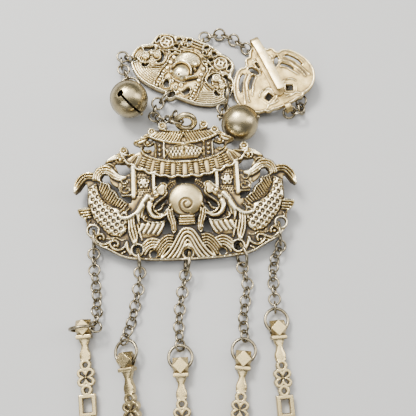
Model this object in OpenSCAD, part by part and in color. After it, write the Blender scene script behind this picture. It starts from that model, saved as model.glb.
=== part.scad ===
// Silver chatelaine lying on a table: a garment hook, a cloud plaque with two bells,
// a large plaque with two carp, a gate and a pearl, and five chains that carry toilet tools.
// Everything is in millimetres, the table is z = 0, and the tools point towards -y.

/* [Carp plaque] */
// Thickness of the ground of the carp plaque
carp_t = 1.9; // [1.6:0.1:2.1]
// Height of its back above the table, along its lower edge
carp_lift = 3; // [2.9:0.1:3.1]
// Lean of the plaque, whose top rests on the ring and the chain
carp_lean = 6.5; // [6:0.5:7]
// Depth of the wall turned down round its back
carp_skirt = 1.3; // [0.8:0.1:1.4]
// Height of the raised ornament above the ground
carp_raise = 0.8; // [0.4:0.1:1.1]
// Height of the fish bodies above the ground
fish_raise = 1.3; // [0.8:0.1:1.6]
// Radius of the pearl in the middle
pearl_r = 6.3; // [5.8:0.1:6.4]
// Height of the pearl above the ground
pearl_rise = 2.0; // [1.2:0.1:2.4]

/* [Cloud plaque] */
// Thickness of the ground of the cloud plaque
cloud_t = 1.7; // [1.4:0.1:2]
// Height of its back above the table
cloud_lift = 1.3; // [1.2:0.1:1.5]
// Height of the raised ornament above the ground
cloud_raise = 0.7; // [0.4:0.1:1]
// Height of the domed body in the middle above the ground
body_rise = 2.2; // [1.4:0.1:2.6]

/* [Garment hook] */
// Thickness of the hook's plate
hook_t = 1.3; // [1:0.1:1.6]
// Clear gap between the two legs of the folded strip
hook_gap = 3.4; // [3:0.1:3.8]
// Thickness of the folded strip
strip_t = 0.9; // [0.8:0.1:1.1]
// Width of the tongue
tongue_w = 3.1; // [2.8:0.1:3.4]

/* [Bells] */
// Outer diameter of a bell
bell_d = 14.7; // [14.4:0.1:14.8]
// Wall of a bell
bell_wall = 0.6; // [0.5:0.1:0.8]
// Width of the slot in a bell
slot_w = 0.9; // [0.7:0.1:1.1]
// Diameter of the pellet inside
pellet_d = 4; // [3:0.5:5]

/* [Chains] */
// Outer diameter of a tassel chain's link
link_d = 4.9; // [4.8:0.05:4.95]
// Wire of a tassel chain's link
link_wire = 0.8; // [0.76:0.02:0.82]
// Outer diameter of a link of the other chains
main_link_d = 5.3; // [5.2:0.05:5.4]
// Wire of a link of the other chains
main_wire = 0.9; // [0.84:0.02:0.92]
// Outer diameter of a tassel ring
ring_d = 9.6; // [9.4:0.1:9.7]
// Wire of a tassel ring
ring_wire = 1.15; // [1.1:0.05:1.2]
// Outer diameter of a tool ring
tool_ring_d = 9.4; // [9.2:0.1:9.5]
// Wire of a tool ring
tool_ring_wire = 1.1; // [1:0.05:1.2]

/* [Tools] */
// Width of a tool's many-sided head
head_w = 5.4; // [5.2:0.1:5.6]
// Thickness of a tool's flat shank
shank_t = 2.4; // [2:0.1:2.6]
// Length of a tool from the middle of its head to its tip
tool_l = 66; // [60:1:72]

/* [Hidden] */

// The middle of the lying object's box, which becomes the origin
middle = [-3.8, 39];
fine = 48;
bead_fn = 24;
stroke_fn = 14;
ball_fn = 72;
// How far a cutting shape runs past what it cuts
past = 3;
// Least play between a link and the next
link_play = 0.1;

// Plain helpers

function mirrored(points, axis = 0) =
    [for (i = [len(points) - 1:-1:0]) [2 * axis - points[i].x, points[i].y]];

function leg(path, i) = norm(path[i + 1] - path[i]);

function path_length(path, i = 0) =
    i >= len(path) - 1 ? 0 : leg(path, i) + path_length(path, i + 1);

// The point at a distance along a path
function along(path, d, i = 0) =
    i >= len(path) - 2 || d <= leg(path, i)
        ? path[i] + (path[i + 1] - path[i]) * d / leg(path, i)
        : along(path, d - leg(path, i), i + 1);

// A closed round ring of wire in the xy plane
module wire_ring(outer, wire) {
    rotate_extrude($fn = fine)
        translate([(outer - wire) / 2, 0])
            circle(d = wire, $fn = bead_fn);
}

// One closed 2D shape made of many, so that an extrusion of it has one clean outline
module merged() {
    offset(delta = 0.001)
        children();
}

// A band of a width along a line of points
module band(points, width) {
    for (i = [0:len(points) - 2]) {
        run = points[i + 1] - points[i];
        translate(points[i])
            rotate(atan2(run.y, run.x))
                translate([0, -width / 2])
                    square([norm(run), width]);
        translate(points[i])
            circle(d = width, $fn = stroke_fn);
    }
    translate(points[len(points) - 1])
        circle(d = width, $fn = stroke_fn);
}

// A band and its mirror image about the upright axis
module twin_band(points, width) {
    band(points, width);
    band(mirrored(points), width);
}

// Both halves of a mirrored shape
module both(axis = 0) {
    children();
    translate([2 * axis, 0])
        mirror([1, 0])
            children();
}

// Round links along a path, each through the next, rolled a quarter turn from one to the next.
// A point's third number is its height above where the link would lie on the table.
module chain(path, outer, wire, roll, twist = 0) {
    reach = outer - 2 * wire - link_play;
    gaps = ceil(path_length(path) / reach);
    step = path_length(path) / gaps;
    for (i = [0:gaps]) {
        here = along(path, i * step);
        before = i == 0 ? here : along(path, (i - 1) * step);
        after = i == gaps ? here : along(path, (i + 1) * step);
        run = after - before;
        rise = atan2(run.z, norm([run.x, run.y]));
        turn = roll + twist * i / gaps;
        stand = (outer - wire) / 2 * max(abs(sin(turn)), abs(cos(turn))) + wire / 2;
        translate([here.x, here.y, here.z + stand])
            rotate([0, -rise, atan2(run.y, run.x)])
                rotate([i % 2 == 0 ? turn : turn - 90, 0, 0])
                    wire_ring(outer, wire);
    }
}

// A ring that runs through a hole and over the rim beside it. The way is the direction from the
// hole to the rim, the drop is how far the ring's middle lies that way, and a lean of 90 stands
// the ring upright.
module hooked_ring(hole, way, drop, lean, outer, wire) {
    stand = (outer - wire) / 2 * abs(sin(lean)) + wire / 2;
    translate([hole.x + drop * cos(way), hole.y + drop * sin(way), stand])
        rotate(way)
            rotate([lean, 0, 0])
                wire_ring(outer, wire);
}

// Where the plaques lie, and the colour of the plain rings

ring_colour = [0.72, 0.68, 0.6];
flat = [0, 0, 0];
carp_at = [-8.25, 64.72];
carp_turn = 2.7;
carp_axis = 0.1;
carp_foot = -22.6;
cloud_at = [-9, 120.5];
cloud_turn = -24;
hook_at = [25.3, 114.8];
hook_turn = 24.5;
hook_tilt = -5;
hook_lift = 4.6;

module on_carp() {
    translate([carp_at.x, carp_at.y, carp_lift])
        rotate(carp_turn)
            translate([0, carp_foot, 0])
                rotate([carp_lean, 0, 0])
                    translate([0, -carp_foot, 0])
                        children();
}

module on_cloud() {
    translate([cloud_at.x, cloud_at.y, cloud_lift])
        rotate(cloud_turn)
            children();
}

module on_hook() {
    translate([hook_at.x, hook_at.y, hook_lift])
        rotate([0, hook_tilt, hook_turn])
            children();
}

// The carp plaque's outlines are drawn in plan. Its face leans towards the viewer, so that
// each point lies a little lower and nearer to the middle on the metal itself.
near = 0.9935;
nearer = 0.0005;
shorter = 0.979;
shorter_still = 0.0005;

function leant(p) =
    let (up = p.y - carp_foot, along_face = up * (shorter - shorter_still * up))
    [p.x * (near - nearer * along_face), carp_foot + along_face];

function all_leant(points) = [for (p = points) leant(p)];

// Where a drawn point of the carp plaque's back comes to lie
function carp_point(p) =
    let (q = leant(p), up = q.y - carp_foot, y = carp_foot + up * cos(carp_lean))
    [carp_at.x + q.x * cos(carp_turn) - y * sin(carp_turn),
     carp_at.y + q.x * sin(carp_turn) + y * cos(carp_turn),
     carp_lift + up * sin(carp_lean)];

// A point of the cloud plaque's own frame on the table plan
function cloud_point(p) =
    [cloud_at.x + p.x * cos(cloud_turn) - p.y * sin(cloud_turn),
     cloud_at.y + p.x * sin(cloud_turn) + p.y * cos(cloud_turn)];

// Carp plaque, left half, in its own frame

carp_side = [
    [carp_axis, -22.6], [-8.3, -22.4], [-13.3, -22.1], [-19.8, -21.5], [-22.3, -21], [-25, -20],
    [-27.3, -18.7], [-30, -17.2], [-32.3, -16.2], [-34.2, -14.8], [-36.2, -12.4], [-37.4, -10.2],
    [-37.4, -8], [-37.3, -7], [-37.8, -5.8], [-38.3, -5.2], [-39.7, -4.2], [-40.5, -2.8],
    [-40.8, -1.8], [-40.2, -1], [-37.1, -0.6], [-37.1, 7], [-37.3, 8.6], [-38.2, 9],
    [-39, 7.8], [-40.2, 6], [-41.8, 4.8], [-42.4, 5.2], [-42, 8.7], [-41.2, 10.7],
    [-39.3, 12.7], [-37.3, 13.3], [-34.9, 13.2], [-34, 14.8], [-32.3, 15.7], [-30.7, 16.3],
    [-30, 17.8], [-27.3, 19.5], [-24.9, 20.9], [-21.4, 20.6], [-19.3, 19.9], [-17.7, 20.3],
    [-16.6, 20.9], [-16.4, 22.5], [-17.5, 23.2], [-19, 23.8], [-19.7, 24.5], [-19, 25.3],
    [-17.2, 26.2], [-15.7, 27], [-14.5, 28.2], [-12.6, 29.2], [-10.7, 29.5], [-9, 29.6],
    [-7.3, 29.3], [-4.2, 28.7], [carp_axis, 28.5]
];

// Curls that stand out of the plaque's edge: place and radius
carp_curls = [
    [[-23.1, 21.3], 1.75],
    [[-12.2, 28.7], 1.65],
    [[-7.9, 30.9], 1.75]
];

carp_gaps = [
    [[-26.7, 15.8], [-26.2, 16.2], [-24.3, 15.8], [-22.5, 15.8], [-21.8, 14.8], [-20.5, 14],
     [-20.4, 12.3], [-21.5, 11.7], [-22.8, 11.2], [-24.2, 11.5], [-25.2, 12.3], [-25.8, 13.7]],
    [[-30.7, 12], [-31.7, 10.5], [-31.3, 9.2], [-29.8, 8.7], [-29, 8.7], [-28.2, 7.5],
     [-28, 6.2], [-26.3, 5.3], [-25.5, 4], [-25.2, 2.8], [-23.8, 2.2], [-23.2, 1.5],
     [-21.8, 0.3], [-20.5, 0.2], [-20.3, 2.5], [-22.5, 2.8], [-24, 2.8], [-24.5, 4],
     [-25, 5.7], [-25.2, 6.5], [-26.5, 7], [-27.7, 8], [-28.5, 9.2], [-28.7, 10.5], [-29.2, 11.7]],
    [[-7.7, -6.7], [-6.2, -8.3], [-5.8, -10], [-5.8, -11.8], [-8.3, -12.5], [-9.3, -12.3],
     [-9.2, -11.3], [-8.5, -9.7], [-8.2, -8]],
    [[-4.9, -3.8], [-4.5, -5.5], [-3.3, -6.3], [-2.8, -9], [-3.3, -9], [-3.8, -7], [-5, -5.3]],
    [[-11, 10.2], [-10, 10], [-7, 10], [-6.7, 9.3], [-5.8, 8.7], [-6, 8], [-7, 7.2],
     [-7.7, 7.7], [-9.3, 7.7], [-10.8, 6.2], [-11.2, 8.3]],
    [[-6.8, 1.7], [-8.3, 0.8], [-10, -0.3], [-11.3, -1.5], [-12, -2.7], [-11.2, -3.2],
     [-10, -2.3], [-9.3, -1.5], [-8.7, -0.8], [-7.5, -0.7]],
    [[-8.3, -1.7], [-8.7, -3.2], [-9.2, -4.7], [-8.3, -4], [-7.3, -2.7], [-6.2, -1.5], [-7, -0.9]],
    [[-13.3, 26.3], [-13.8, 25.3], [-12, 25.3], [-11.3, 24], [-11, 24.8], [-12.2, 25.7]],
    [[-15.2, 23], [-13.7, 22.7], [-12.2, 23.2], [-11.5, 23.7], [-11.3, 21.7], [-12, 20.3],
     [-12.8, 21.5], [-14.2, 21.5], [-15, 21], [-15.5, 21.7]],
    [[-38.3, 8.6], [-37.3, 8.9], [-37.2, 7.4], [-37.7, 7]]
];

// The one gap that lies across the middle
centre_gap = [[-3.6, 8.7], [-3.3, 9.3], [-2.3, 9.8], [-1.3, 9.2], [0.8, 9], [2, 9.8],
    [3.4, 9.2], [3.7, 8.5], [3.4, 6.9], [0, 7.1], [-3.2, 6.9]];

fish_inner = [[-33.5, 9], [-33, 7], [-32.7, 5], [-31.8, 3], [-30.8, 1.5], [-29.3, 0.2],
    [-27.5, -1], [-25.5, -1.5], [-24.3, -2.5], [-22, -3]];

fish_outer = [[-24.8, -13], [-26.5, -12.4], [-28, -12.3], [-29.7, -11.2], [-31.2, -9.7],
    [-32.3, -8.2], [-33.7, -6.7], [-35, -5], [-35.6, -3], [-36.3, -1], [-36.9, 0.5], [-36.9, 7]];

// Holes along the lower edge: place and radius
ring_holes = [
    [[-34.9, -9.8], 1.75],
    [[-18.5, -17.9], 1.75],
    [[0.1, -19.9], 1.5],
    [[18.7, -17.9], 1.75],
    [[34.5, -9.9], 1.75]
];

spare_hole_r = 1.35;
spare_holes = [[-12.6, -19.8], [12.5, -19.7]];
// Width of the flat margin kept free of ornament round each ring's hole
hole_margin = 0.9;
// Radius of the opening of the wall round each ring's hole
ring_room = 3.4;
boss_r = 2.65;
carp_wall_t = 0.9;
// How far the ornament stays inside the edge of the ground
layer_inset = 0.06;
// Loop on the plaque's top, and the height of its middle above the plaque's back
bail_at = [1.3, 29.6];
bail_d = 6.2;
bail_wire = 1.2;
bail_z = 0.4;
// How much lower the fish bodies lie along their outline
fish_rim = 1.1;
fish_step = 0.6;

// A shape of the carp plaque and its mirror image
module carp_pair(points) {
    polygon(all_leant(points));
    polygon(all_leant(mirrored(points, carp_axis)));
}

module carp_bands(points, width) {
    band(all_leant(points), width);
    band(all_leant(mirrored(points, carp_axis)), width);
}

module carp_discs(points, radius) {
    for (p = concat(points, mirrored(points, carp_axis)))
        translate(leant(p))
            circle(radius, $fn = bead_fn);
}

module carp_edge() {
    polygon(all_leant(concat(carp_side, mirrored(carp_side, carp_axis))));
    for (curl = carp_curls)
        carp_discs([curl[0]], curl[1]);
    carp_discs([ring_holes[0][0]], boss_r);
}

module carp_open() {
    for (gap = carp_gaps)
        carp_pair(gap);
    polygon(all_leant(centre_gap));
}

module carp_plan() {
    difference() {
        carp_edge();
        carp_open();
    }
}

module fish_body() {
    carp_pair(concat(fish_inner, [[-21.6, -5.2], [-22.4, -11]], fish_outer));
}

// The curled roofs, columns, waves, fins and straps, which all stand at one height
module carp_ornament() {
    // Roof ridges and eaves
    carp_bands([[-9.2, 30.6], [-7.3, 29.5], [-4.2, 28.9], [carp_axis, 28.7]], 0.9);
    carp_bands([[-19, 24.6], [-16, 25.4], [-13.3, 26.8], [-10, 25.2], [-7.5, 24.5], [-4.2, 23.8],
        [carp_axis, 23.6]], 0.8);
    carp_bands([[-16.2, 22.5], [-16.2, 21.2], [-14.2, 18.8], [-12, 17.8], [-9.2, 16.9], [-6, 16.2],
        [-2, 15.8], [carp_axis, 15.8]], 0.9);
    carp_bands([[-31, 16], [-28.5, 17.5], [-26, 18.6], [-24, 19.3], [-22.3, 16.8], [-19.3, 15.2],
        [-17.5, 13.3], [-14.3, 12.2], [-10.7, 11.2], [-7.3, 10.5], [-4.2, 9.9]], 0.8);
    // Tile columns of the lower roof
    for (x = [-15.2, -10.7, -6.5])
        carp_bands([[x, 12.2 + (x + 15.2) * -0.18], [x + 0.3, 17.6]], 1.6);
    band(all_leant([[carp_axis, 10.6], [carp_axis, 15.6]]), 1.6);
    // Fine tiles of the upper roof, as one slab
    carp_pair([[carp_axis, 24.3], [-4.2, 24.5], [-8.4, 25.4], [-11.5, 26.7], [-9.4, 28.6],
        [-6.5, 28.4], [carp_axis, 27.8]]);
    // Bars and the blank sign board between the roofs
    carp_bands([[-7.5, 17.8], [-7.5, 23.8]], 0.9);
    carp_pair([[carp_axis, 17.6], [-5, 17.8], [-6.6, 20.6], [-4.3, 22], [carp_axis, 22.9]]);
    // Gate columns and panels
    carp_bands([[-19.7, 2.6], [-19.7, 14]], 1);
    carp_bands([[-11.9, 5], [-11.9, 10.6]], 1);
    carp_discs([[-15.8, 8.1]], 2.3);
    carp_bands([[-25, 3.3], [-20.4, 3.3]], 0.9);
    carp_bands([[-24, 8.6], [-22.4, 7.4], [-23.6, 5.6], [-21.3, 4.7]], 0.8);
    // Tails
    carp_bands([[-34.2, 10.5], [-33.8, 12.3], [-31, 13.6], [-29.3, 12.9], [-27.5, 11.6],
        [-26, 10.4]], 2);
    carp_bands([[-41.3, 6.6], [-40.4, 9.2], [-38.6, 11.2], [-35.4, 11.8]], 1.7);
    // Side fins and pectoral bands
    carp_pair([[-40.2, -1.4], [-37.2, -1.2], [-37.5, -5], [-38.4, -4.9], [-39.9, -3.4]]);
    carp_pair([[-21.7, -5.8], [-21.5, -10], [-21, -12.5], [-19.6, -15.6], [-18.4, -14],
        [-18.6, -10.8], [-19.5, -7.5], [-19.5, -5.8]]);
    // Fish heads: mouth, lip, gill, belly and barbel
    carp_bands([[-7.3, 6.5], [-7.4, 5.6], [-8, 5], [-7.7, 3.6], [-9.2, 1.7], [-10.9, 0.4],
        [-12.5, -1.4], [-13, -3.2], [-12.2, -4.6], [-9.4, -5.4], [-7.2, -3.4]], 0.9);
    carp_pair([[-8.4, 5.5], [-9, 3.2], [-12.3, 0.8], [-14.3, -1.7], [-15.5, 1.6], [-14.3, 4.4],
        [-12, 5.7]]);
    carp_bands([[-15.5, -3.2], [-14.3, -5], [-12, -6.7], [-9.3, -6.2]], 1.2);
    carp_bands([[-14.5, 2.5], [-17.2, -0.8], [-19, -3.3], [-20.7, -4.8], [-22.7, -5.4],
        [-24.6, -4.8]], 1.1);
    carp_pair([[-16.5, -6.3], [-13.4, -7.8], [-8.5, -7.6], [-9.4, -10.3], [-10.6, -13.2],
        [-13.6, -13.4], [-16.6, -11.6], [-17.8, -9]]);
    // Mountain and waves
    carp_pair([[carp_axis, -10.6], [-2, -11], [-3.3, -12.5], [-5, -16], [-7.5, -19.5],
        [-9.3, -21], [-2.3, -21.2], [-1.4, -17.6], [carp_axis, -16.8]]);
    carp_pair([[-5.6, -13.6], [-7, -12.9], [-10, -14.3], [-12.5, -14], [-16.4, -16.7],
        [-14.6, -17.4], [-12.6, -18.2], [-10.4, -18.4], [-8.4, -18.6], [-6.8, -16.6]]);
    // Lower scrolls
    carp_bands([[-33.4, -13.2], [-32, -14.6], [-29.7, -15], [-27.4, -14.4], [-25.6, -15.6],
        [-26.4, -17.5], [-24, -17.9]], 0.8);
    // Pearl stand and the straps beside it
    polygon(all_leant([[-2.7, -5.6], [2.9, -5.6], [2.9, -9], [-2.7, -9]]));
    carp_bands([[-6.5, -2.6], [-5.9, -5.5], [-5, -9], [-4.7, -11]], 1.5);
}

// A prism of a raised shape, kept just inside the plaque's edge and clear of its gaps
module carp_layer(height) {
    linear_extrude(height)
        merged()
            intersection() {
                offset(delta = -layer_inset)
                    carp_plan();
                union()
                    children();
            }
}

// Spherical cap of a base radius and a rise, on top of a flat face at a height
module cap(radius, rise, height) {
    ball = (radius * radius + rise * rise) / (2 * rise);
    intersection() {
        translate([0, 0, height + rise - ball])
            sphere(ball, $fn = ball_fn);
        cylinder(r = radius, h = height + rise + past, $fn = ball_fn);
    }
}

// The wall turned down round the back, open where the rings pass
module carp_wall() {
    translate([0, 0, -carp_skirt])
        linear_extrude(carp_skirt + carp_t / 2)
            merged()
                difference() {
                    carp_edge();
                    offset(delta = -carp_wall_t)
                        carp_edge();
                    for (hole = ring_holes)
                        translate(leant(hole[0]))
                            circle(ring_room, $fn = fine);
                    // Keeps the wall clear of the gap beside the tail
                    carp_open();
                }
}

// A round cut from a height upwards
module carp_drill(at, radius, from) {
    translate([leant(at).x, leant(at).y, from])
        cylinder(r = radius, h = carp_t + carp_raise + 2 * past, $fn = fine);
}

module carp_plaque() {
    pearl_at = leant([carp_axis, 0.7]);
    color([0.78, 0.71, 0.58])
        on_carp()
            difference() {
                union() {
                    linear_extrude(carp_t)
                        merged()
                            carp_plan();
                    carp_wall();
                    carp_layer(carp_t + carp_raise)
                        carp_ornament();
                    carp_layer(carp_t + fish_raise * fish_step)
                        fish_body();
                    carp_layer(carp_t + fish_raise)
                        offset(delta = -fish_rim)
                            fish_body();
                    translate([pearl_at.x, pearl_at.y])
                        cap(pearl_r, pearl_rise, carp_t);
                    // Loop that hangs in the suspension ring
                    translate([leant(bail_at).x, leant(bail_at).y, bail_z])
                        rotate([90, 0, 90])
                            wire_ring(bail_d, bail_wire);
                }
                for (hole = ring_holes)
                    carp_drill(hole[0], hole[1], -past);
                // The ornament is cut back round the ring holes so that the rings can pass
                for (hole = ring_holes)
                    carp_drill(hole[0], hole[1] + hole_margin, carp_t);
                for (hole = spare_holes)
                    carp_drill(hole, spare_hole_r, -past);
            }
}

// Thick ring that carries the carp plaque

thick_ring_d = 8.7;
thick_ring_wire = 2.4;
// How far it rises from the plaque's face
thick_ring_rise = 55;
// Where its wire passes through the plaque's loop
held_at = [1.3, 30];

module suspension_ring() {
    color([0.62, 0.57, 0.5])
        on_carp()
            translate([leant(held_at).x, leant(held_at).y, bail_z])
                rotate([thick_ring_rise, 0, 0])
                    translate([0, (thick_ring_d - thick_ring_wire) / 2, 0])
                        wire_ring(thick_ring_d, thick_ring_wire);
}

// Cloud plaque, in its own frame

cloud_edge_points = [
    [-21.8, -5.6], [-22.6, -3.6], [-22.7, -1.4], [-22.1, 1], [-20.6, 3], [-18.6, 4.1],
    [-17.8, 4.8], [-17.4, 7], [-16.9, 9.1], [-16, 10.3], [-14.4, 11.2], [-12.8, 12], [-11, 12.3],
    [-9.6, 12.1], [-8.4, 12.7], [-7, 13.2], [-5.2, 13.5], [-3.4, 14], [-1.6, 14.1], [2.7, 14],
    [4.6, 13.9], [6.4, 13.5], [8.4, 13.1], [10, 12.3], [12.2, 12.3], [14.3, 11.8], [16.3, 10.8],
    [17.5, 9.6], [18, 7.8], [18, 5.4], [18.5, 4.3], [20, 3], [21, 1.3], [21.5, -1], [21.4, -3.4],
    [20.6, -6], [18.8, -8.6], [16.4, -10.4], [13, -11.8], [10, -12.6], [7, -12.9], [4.4, -13],
    [2, -13.1], [1, -13.3], [-2.6, -13.1], [-4.2, -13], [-7, -13], [-10.4, -12.8], [-13.6, -12.2],
    [-16.6, -11], [-19.4, -9], [-21, -7.2]
];

// The gaps of the right half; the left half has the same
cloud_gaps = [
    [[3.1, 12.5], [3.9, 13], [4.7, 12.5], [4.5, 11.7], [3.9, 11.2], [3.1, 11.4]],
    [[6.7, 11.4], [7.7, 11.8], [8.7, 11.2], [8.6, 10.2], [7.6, 9.9], [7.1, 10.4]],
    [[15.3, 7.3], [15.5, 8.6], [16.1, 8.7], [16.4, 7.4], [16.2, 6.3], [15.6, 6.4]],
    [[5.2, 5.6], [7.2, 5.3], [8.3, 4.1], [9.2, 4.4], [8.8, 5.1], [7.4, 5.8], [5.4, 6]],
    [[13.1, 3.4], [12, 3.3], [10.6, 2.2], [9.9, 0.4], [10.1, -1.2], [11, -2], [12.5, -1.8],
     [11.7, -1.1], [11.2, 0], [11.3, 1.4], [12, 2.6]],
    [[15.2, 2.6], [15.5, 3.8], [16.2, 4], [17.2, 3.1], [19, 2.3], [19.6, 1.4], [18.4, 0.5],
     [17.5, 0.8], [17, 2]],
    [[14.6, -3.9], [14.8, -5.2], [15.9, -6], [17.1, -5.6], [17.2, -4.6], [16, -4.6], [15.2, -3.8]],
    [[4.9, -7], [5.5, -8], [5.4, -9.4], [4.4, -10.7], [2.9, -10], [3.4, -8.8], [4, -7.7]]
];

eye_hole = [7.7, 7.7];
eye_hole_r = 0.9;
loop_at = [-0.8, -12.6];
loop_hole_r = 1.7;
// Opening of each wing tip for its bell's ring: a round hole and a slot
wing_hole = [-20.8, -4.6];
wing_hole_r = 0.95;
wing_slot = [[19.2, -1.5], [20.05, -4.2]];
wing_slot_w = 2.5;
top_bail_at = [0.8, 14.2];
top_bail_d = 3.8;
top_bail_wire = 0.9;
loop_boss_r = 2.5;
coin_hole_r = 0.35;
// Domed body and the lower dome: place, radius
body_at = [0, 3.9];
body_r = 4.2;
belly_at = [-0.2, -2.9];
belly_r = 4.3;
belly_rise = 1.5;

module cloud_edge() {
    polygon(cloud_edge_points);
    translate(loop_at)
        circle(loop_boss_r, $fn = bead_fn);
}

module cloud_open() {
    both()
        for (gap = cloud_gaps)
            polygon(gap);
}

module cloud_plan() {
    difference() {
        cloud_edge();
        cloud_open();
    }
}

module cloud_ornament() {
    // Curled border of each wing
    twin_band([[-17.4, 5], [-16.9, 8.2], [-15.2, 10.2], [-12, 11.6], [-9.6, 11.2], [-8.6, 9.4]], 0.8);
    both()
        translate([12.1, 7.4])
            difference() {
                circle(2.6, $fn = bead_fn);
                circle(coin_hole_r, $fn = stroke_fn);
            }
    both()
        translate([13.3, 0.8])
            circle(1.6, $fn = bead_fn);
    both()
        translate([16.2, 0.4])
            circle(1.2, $fn = bead_fn);
    both()
        translate([17, -1.6])
            circle(1.2, $fn = bead_fn);
    // Scrolls and bars of the crest
    both()
        translate([4.5, 9.3])
            circle(1.5, $fn = bead_fn);
    twin_band([[-2.8, 13.2], [-2.6, 10.7], [-3.2, 8.2]], 0.7);
    band([[-2.2, 12.3], [2.2, 12.3]], 0.8);
    band([[-2.2, 10.6], [2.2, 10.6]], 0.8);
    // Wavy borders between the body and the lobes
    twin_band([[-8.6, 4], [-9.6, 0.6], [-9, -3.2], [-9.4, -7], [-8.8, -9.6], [-8, -12]], 0.9);
    twin_band([[-6, 4.5], [-7.4, 1.6], [-6.6, -1], [-7.4, -3.4], [-6.2, -6]], 1.4);
    // Outer rims of the lobes
    twin_band([[-10, -12], [-13.4, -11.4], [-16.4, -10.2], [-19, -8.4], [-20.6, -6.4]], 0.9);
    // Three ringed beads
    for (bead = [[-2.7, -7.6, 0.85], [1.4, -7.6, 0.85], [-0.5, -9.5, 0.8]])
        translate([bead.x, bead.y])
            circle(bead[2], $fn = bead_fn);
}

module cloud_layer(height) {
    linear_extrude(height)
        merged()
            intersection() {
                offset(delta = -layer_inset)
                    cloud_plan();
                union()
                    children();
            }
}

// A round hole right through
module cloud_drill(at, radius) {
    translate([at.x, at.y, -past])
        cylinder(r = radius, h = cloud_t + cloud_raise + 2 * past, $fn = fine);
}

module cloud_plaque() {
    color([0.8, 0.74, 0.62])
        on_cloud()
            difference() {
                union() {
                    linear_extrude(cloud_t)
                        merged()
                            cloud_plan();
                    cloud_layer(cloud_t + cloud_raise)
                        cloud_ornament();
                    translate(body_at)
                        cap(body_r, body_rise, cloud_t);
                    translate(belly_at)
                        cap(belly_r, belly_rise, cloud_t);
                    translate([top_bail_at.x, top_bail_at.y, cloud_t / 2])
                        rotate([90, 0, 90])
                            wire_ring(top_bail_d, top_bail_wire);
                }
                cloud_drill(loop_at, loop_hole_r);
                for (side = [-1, 1])
                    cloud_drill([side * eye_hole.x, eye_hole.y], eye_hole_r);
                cloud_drill(wing_hole, wing_hole_r);
                translate([0, 0, -past])
                    linear_extrude(cloud_t + cloud_raise + 2 * past)
                        merged()
                            band(wing_slot, wing_slot_w);
            }
}

// Garment hook: a plate seen from its back, with a strip folded over it

hook_side = [
    [0, 15.6], [1.6, 15.4], [2.8, 14.6], [3.6, 13.3], [4, 12.4], [4.8, 12.6], [5.9, 12.2],
    [6.4, 11.2], [6.7, 10], [7.4, 9.3], [8.5, 9.6], [9.6, 9.5], [10.8, 9], [12.2, 7.9],
    [13.6, 6.3], [14.8, 4.5], [15.7, 2.6], [16.4, 0.4], [16.8, -2], [16.6, -4.2], [15.9, -6.4],
    [14.7, -8.3], [13, -9.9], [11, -11], [9.3, -11.4], [8.4, -11.5], [8, -12], [7.2, -12.4],
    [6, -12.4], [5.3, -12.2], [4.2, -12.5], [3, -12.8], [0, -12.8]
];

hook_slots = [
    [[13.4, 0.3], [12.9, 2.4], [11.8, 4.4], [10.3, 6.3], [9.3, 6.8], [9, 6], [10.3, 4.9],
     [11.5, 3.2], [12.4, 1.4]],
    [[9.6, -0.1], [9, 1.6], [7.9, 3.1], [6.6, 4.2], [5.9, 4.1], [6.1, 3.4], [7.2, 2.5],
     [8.3, 1.2], [9.1, 0.1]],
    [[6.1, 7.7], [5.9, 6.4], [4.9, 4.9], [3.8, 4.1], [3.7, 5.2], [4.4, 6.6], [5.3, 7.6]],
    [[2.9, 8.8], [2.4, 8.7], [2.3, 6.3], [2.7, 6.2]],
    [[3.1, -6.8], [4, -8], [5.2, -8.1], [6.1, -7], [5.9, -5.7], [4.6, -5.1], [3.7, -5.4]]
];

barrel_at = [0.2, -13.8, 1.2];
barrel_d = 4.4;
barrel_bore = 2.8;
barrel_w = 2.4;
rim_w = 0.8;
rim_h = 0.35;
// How deep the strip is soldered into the plate
strip_sunk = 0.2;
leg_w = 3.9;
leg_end = -8.3;
fold_y = 14.9;
tongue_end = -7.4;
tongue_shift = 0.5;

module hook_edge() {
    polygon(concat(mirrored(hook_side), hook_side));
}

module hook_open() {
    both()
        for (slot = hook_slots)
            polygon(slot);
}

// A flat leg of a strip with a round end, from one y to another
module strip_leg(width, from, to, thick) {
    linear_extrude(thick)
        merged() {
            translate([-width / 2, from + width / 4])
                square([width, to - from - width / 4]);
            translate([0, from + width / 2])
                circle(width / 2, $fn = bead_fn);
        }
}

module garment_hook() {
    fold_r = hook_gap / 2;
    half = fold_r + strip_t + past;
    color([0.84, 0.76, 0.64])
        on_hook()
            union() {
                linear_extrude(hook_t)
                    merged()
                        difference() {
                            hook_edge();
                            hook_open();
                        }
                // Raised rim
                linear_extrude(hook_t + rim_h)
                    merged()
                        difference() {
                            hook_edge();
                            offset(delta = -rim_w)
                                hook_edge();
                        }
                // Lower leg on the plate
                translate([0, 0, hook_t - strip_sunk])
                    strip_leg(leg_w, leg_end, fold_y, strip_t + strip_sunk);
                // Round fold
                translate([tongue_shift / 2, fold_y, hook_t + strip_t + fold_r])
                    rotate([0, 90, 0])
                        difference() {
                            cylinder(r = fold_r + strip_t, h = tongue_w, center = true, $fn = fine);
                            cylinder(r = fold_r, h = tongue_w + past, center = true, $fn = fine);
                            translate([-half, -2 * half, -half])
                                cube([2 * half, 2 * half, 2 * half]);
                        }
                // Upper leg, the tongue
                translate([tongue_shift, 0, hook_t + strip_t + hook_gap])
                    strip_leg(tongue_w, tongue_end, fold_y, strip_t);
                // Barrel loop that holds the chain's ring
                translate(barrel_at)
                    rotate([0, 90, 0])
                        difference() {
                            cylinder(d = barrel_d, h = barrel_w, center = true, $fn = fine);
                            cylinder(d = barrel_bore, h = barrel_w + past, center = true, $fn = fine);
                        }
            }
}

// Bells

bell_left_at = [-30.6, 104.6, 8.3];
bell_left_turn = [36, 6, 0];
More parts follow.
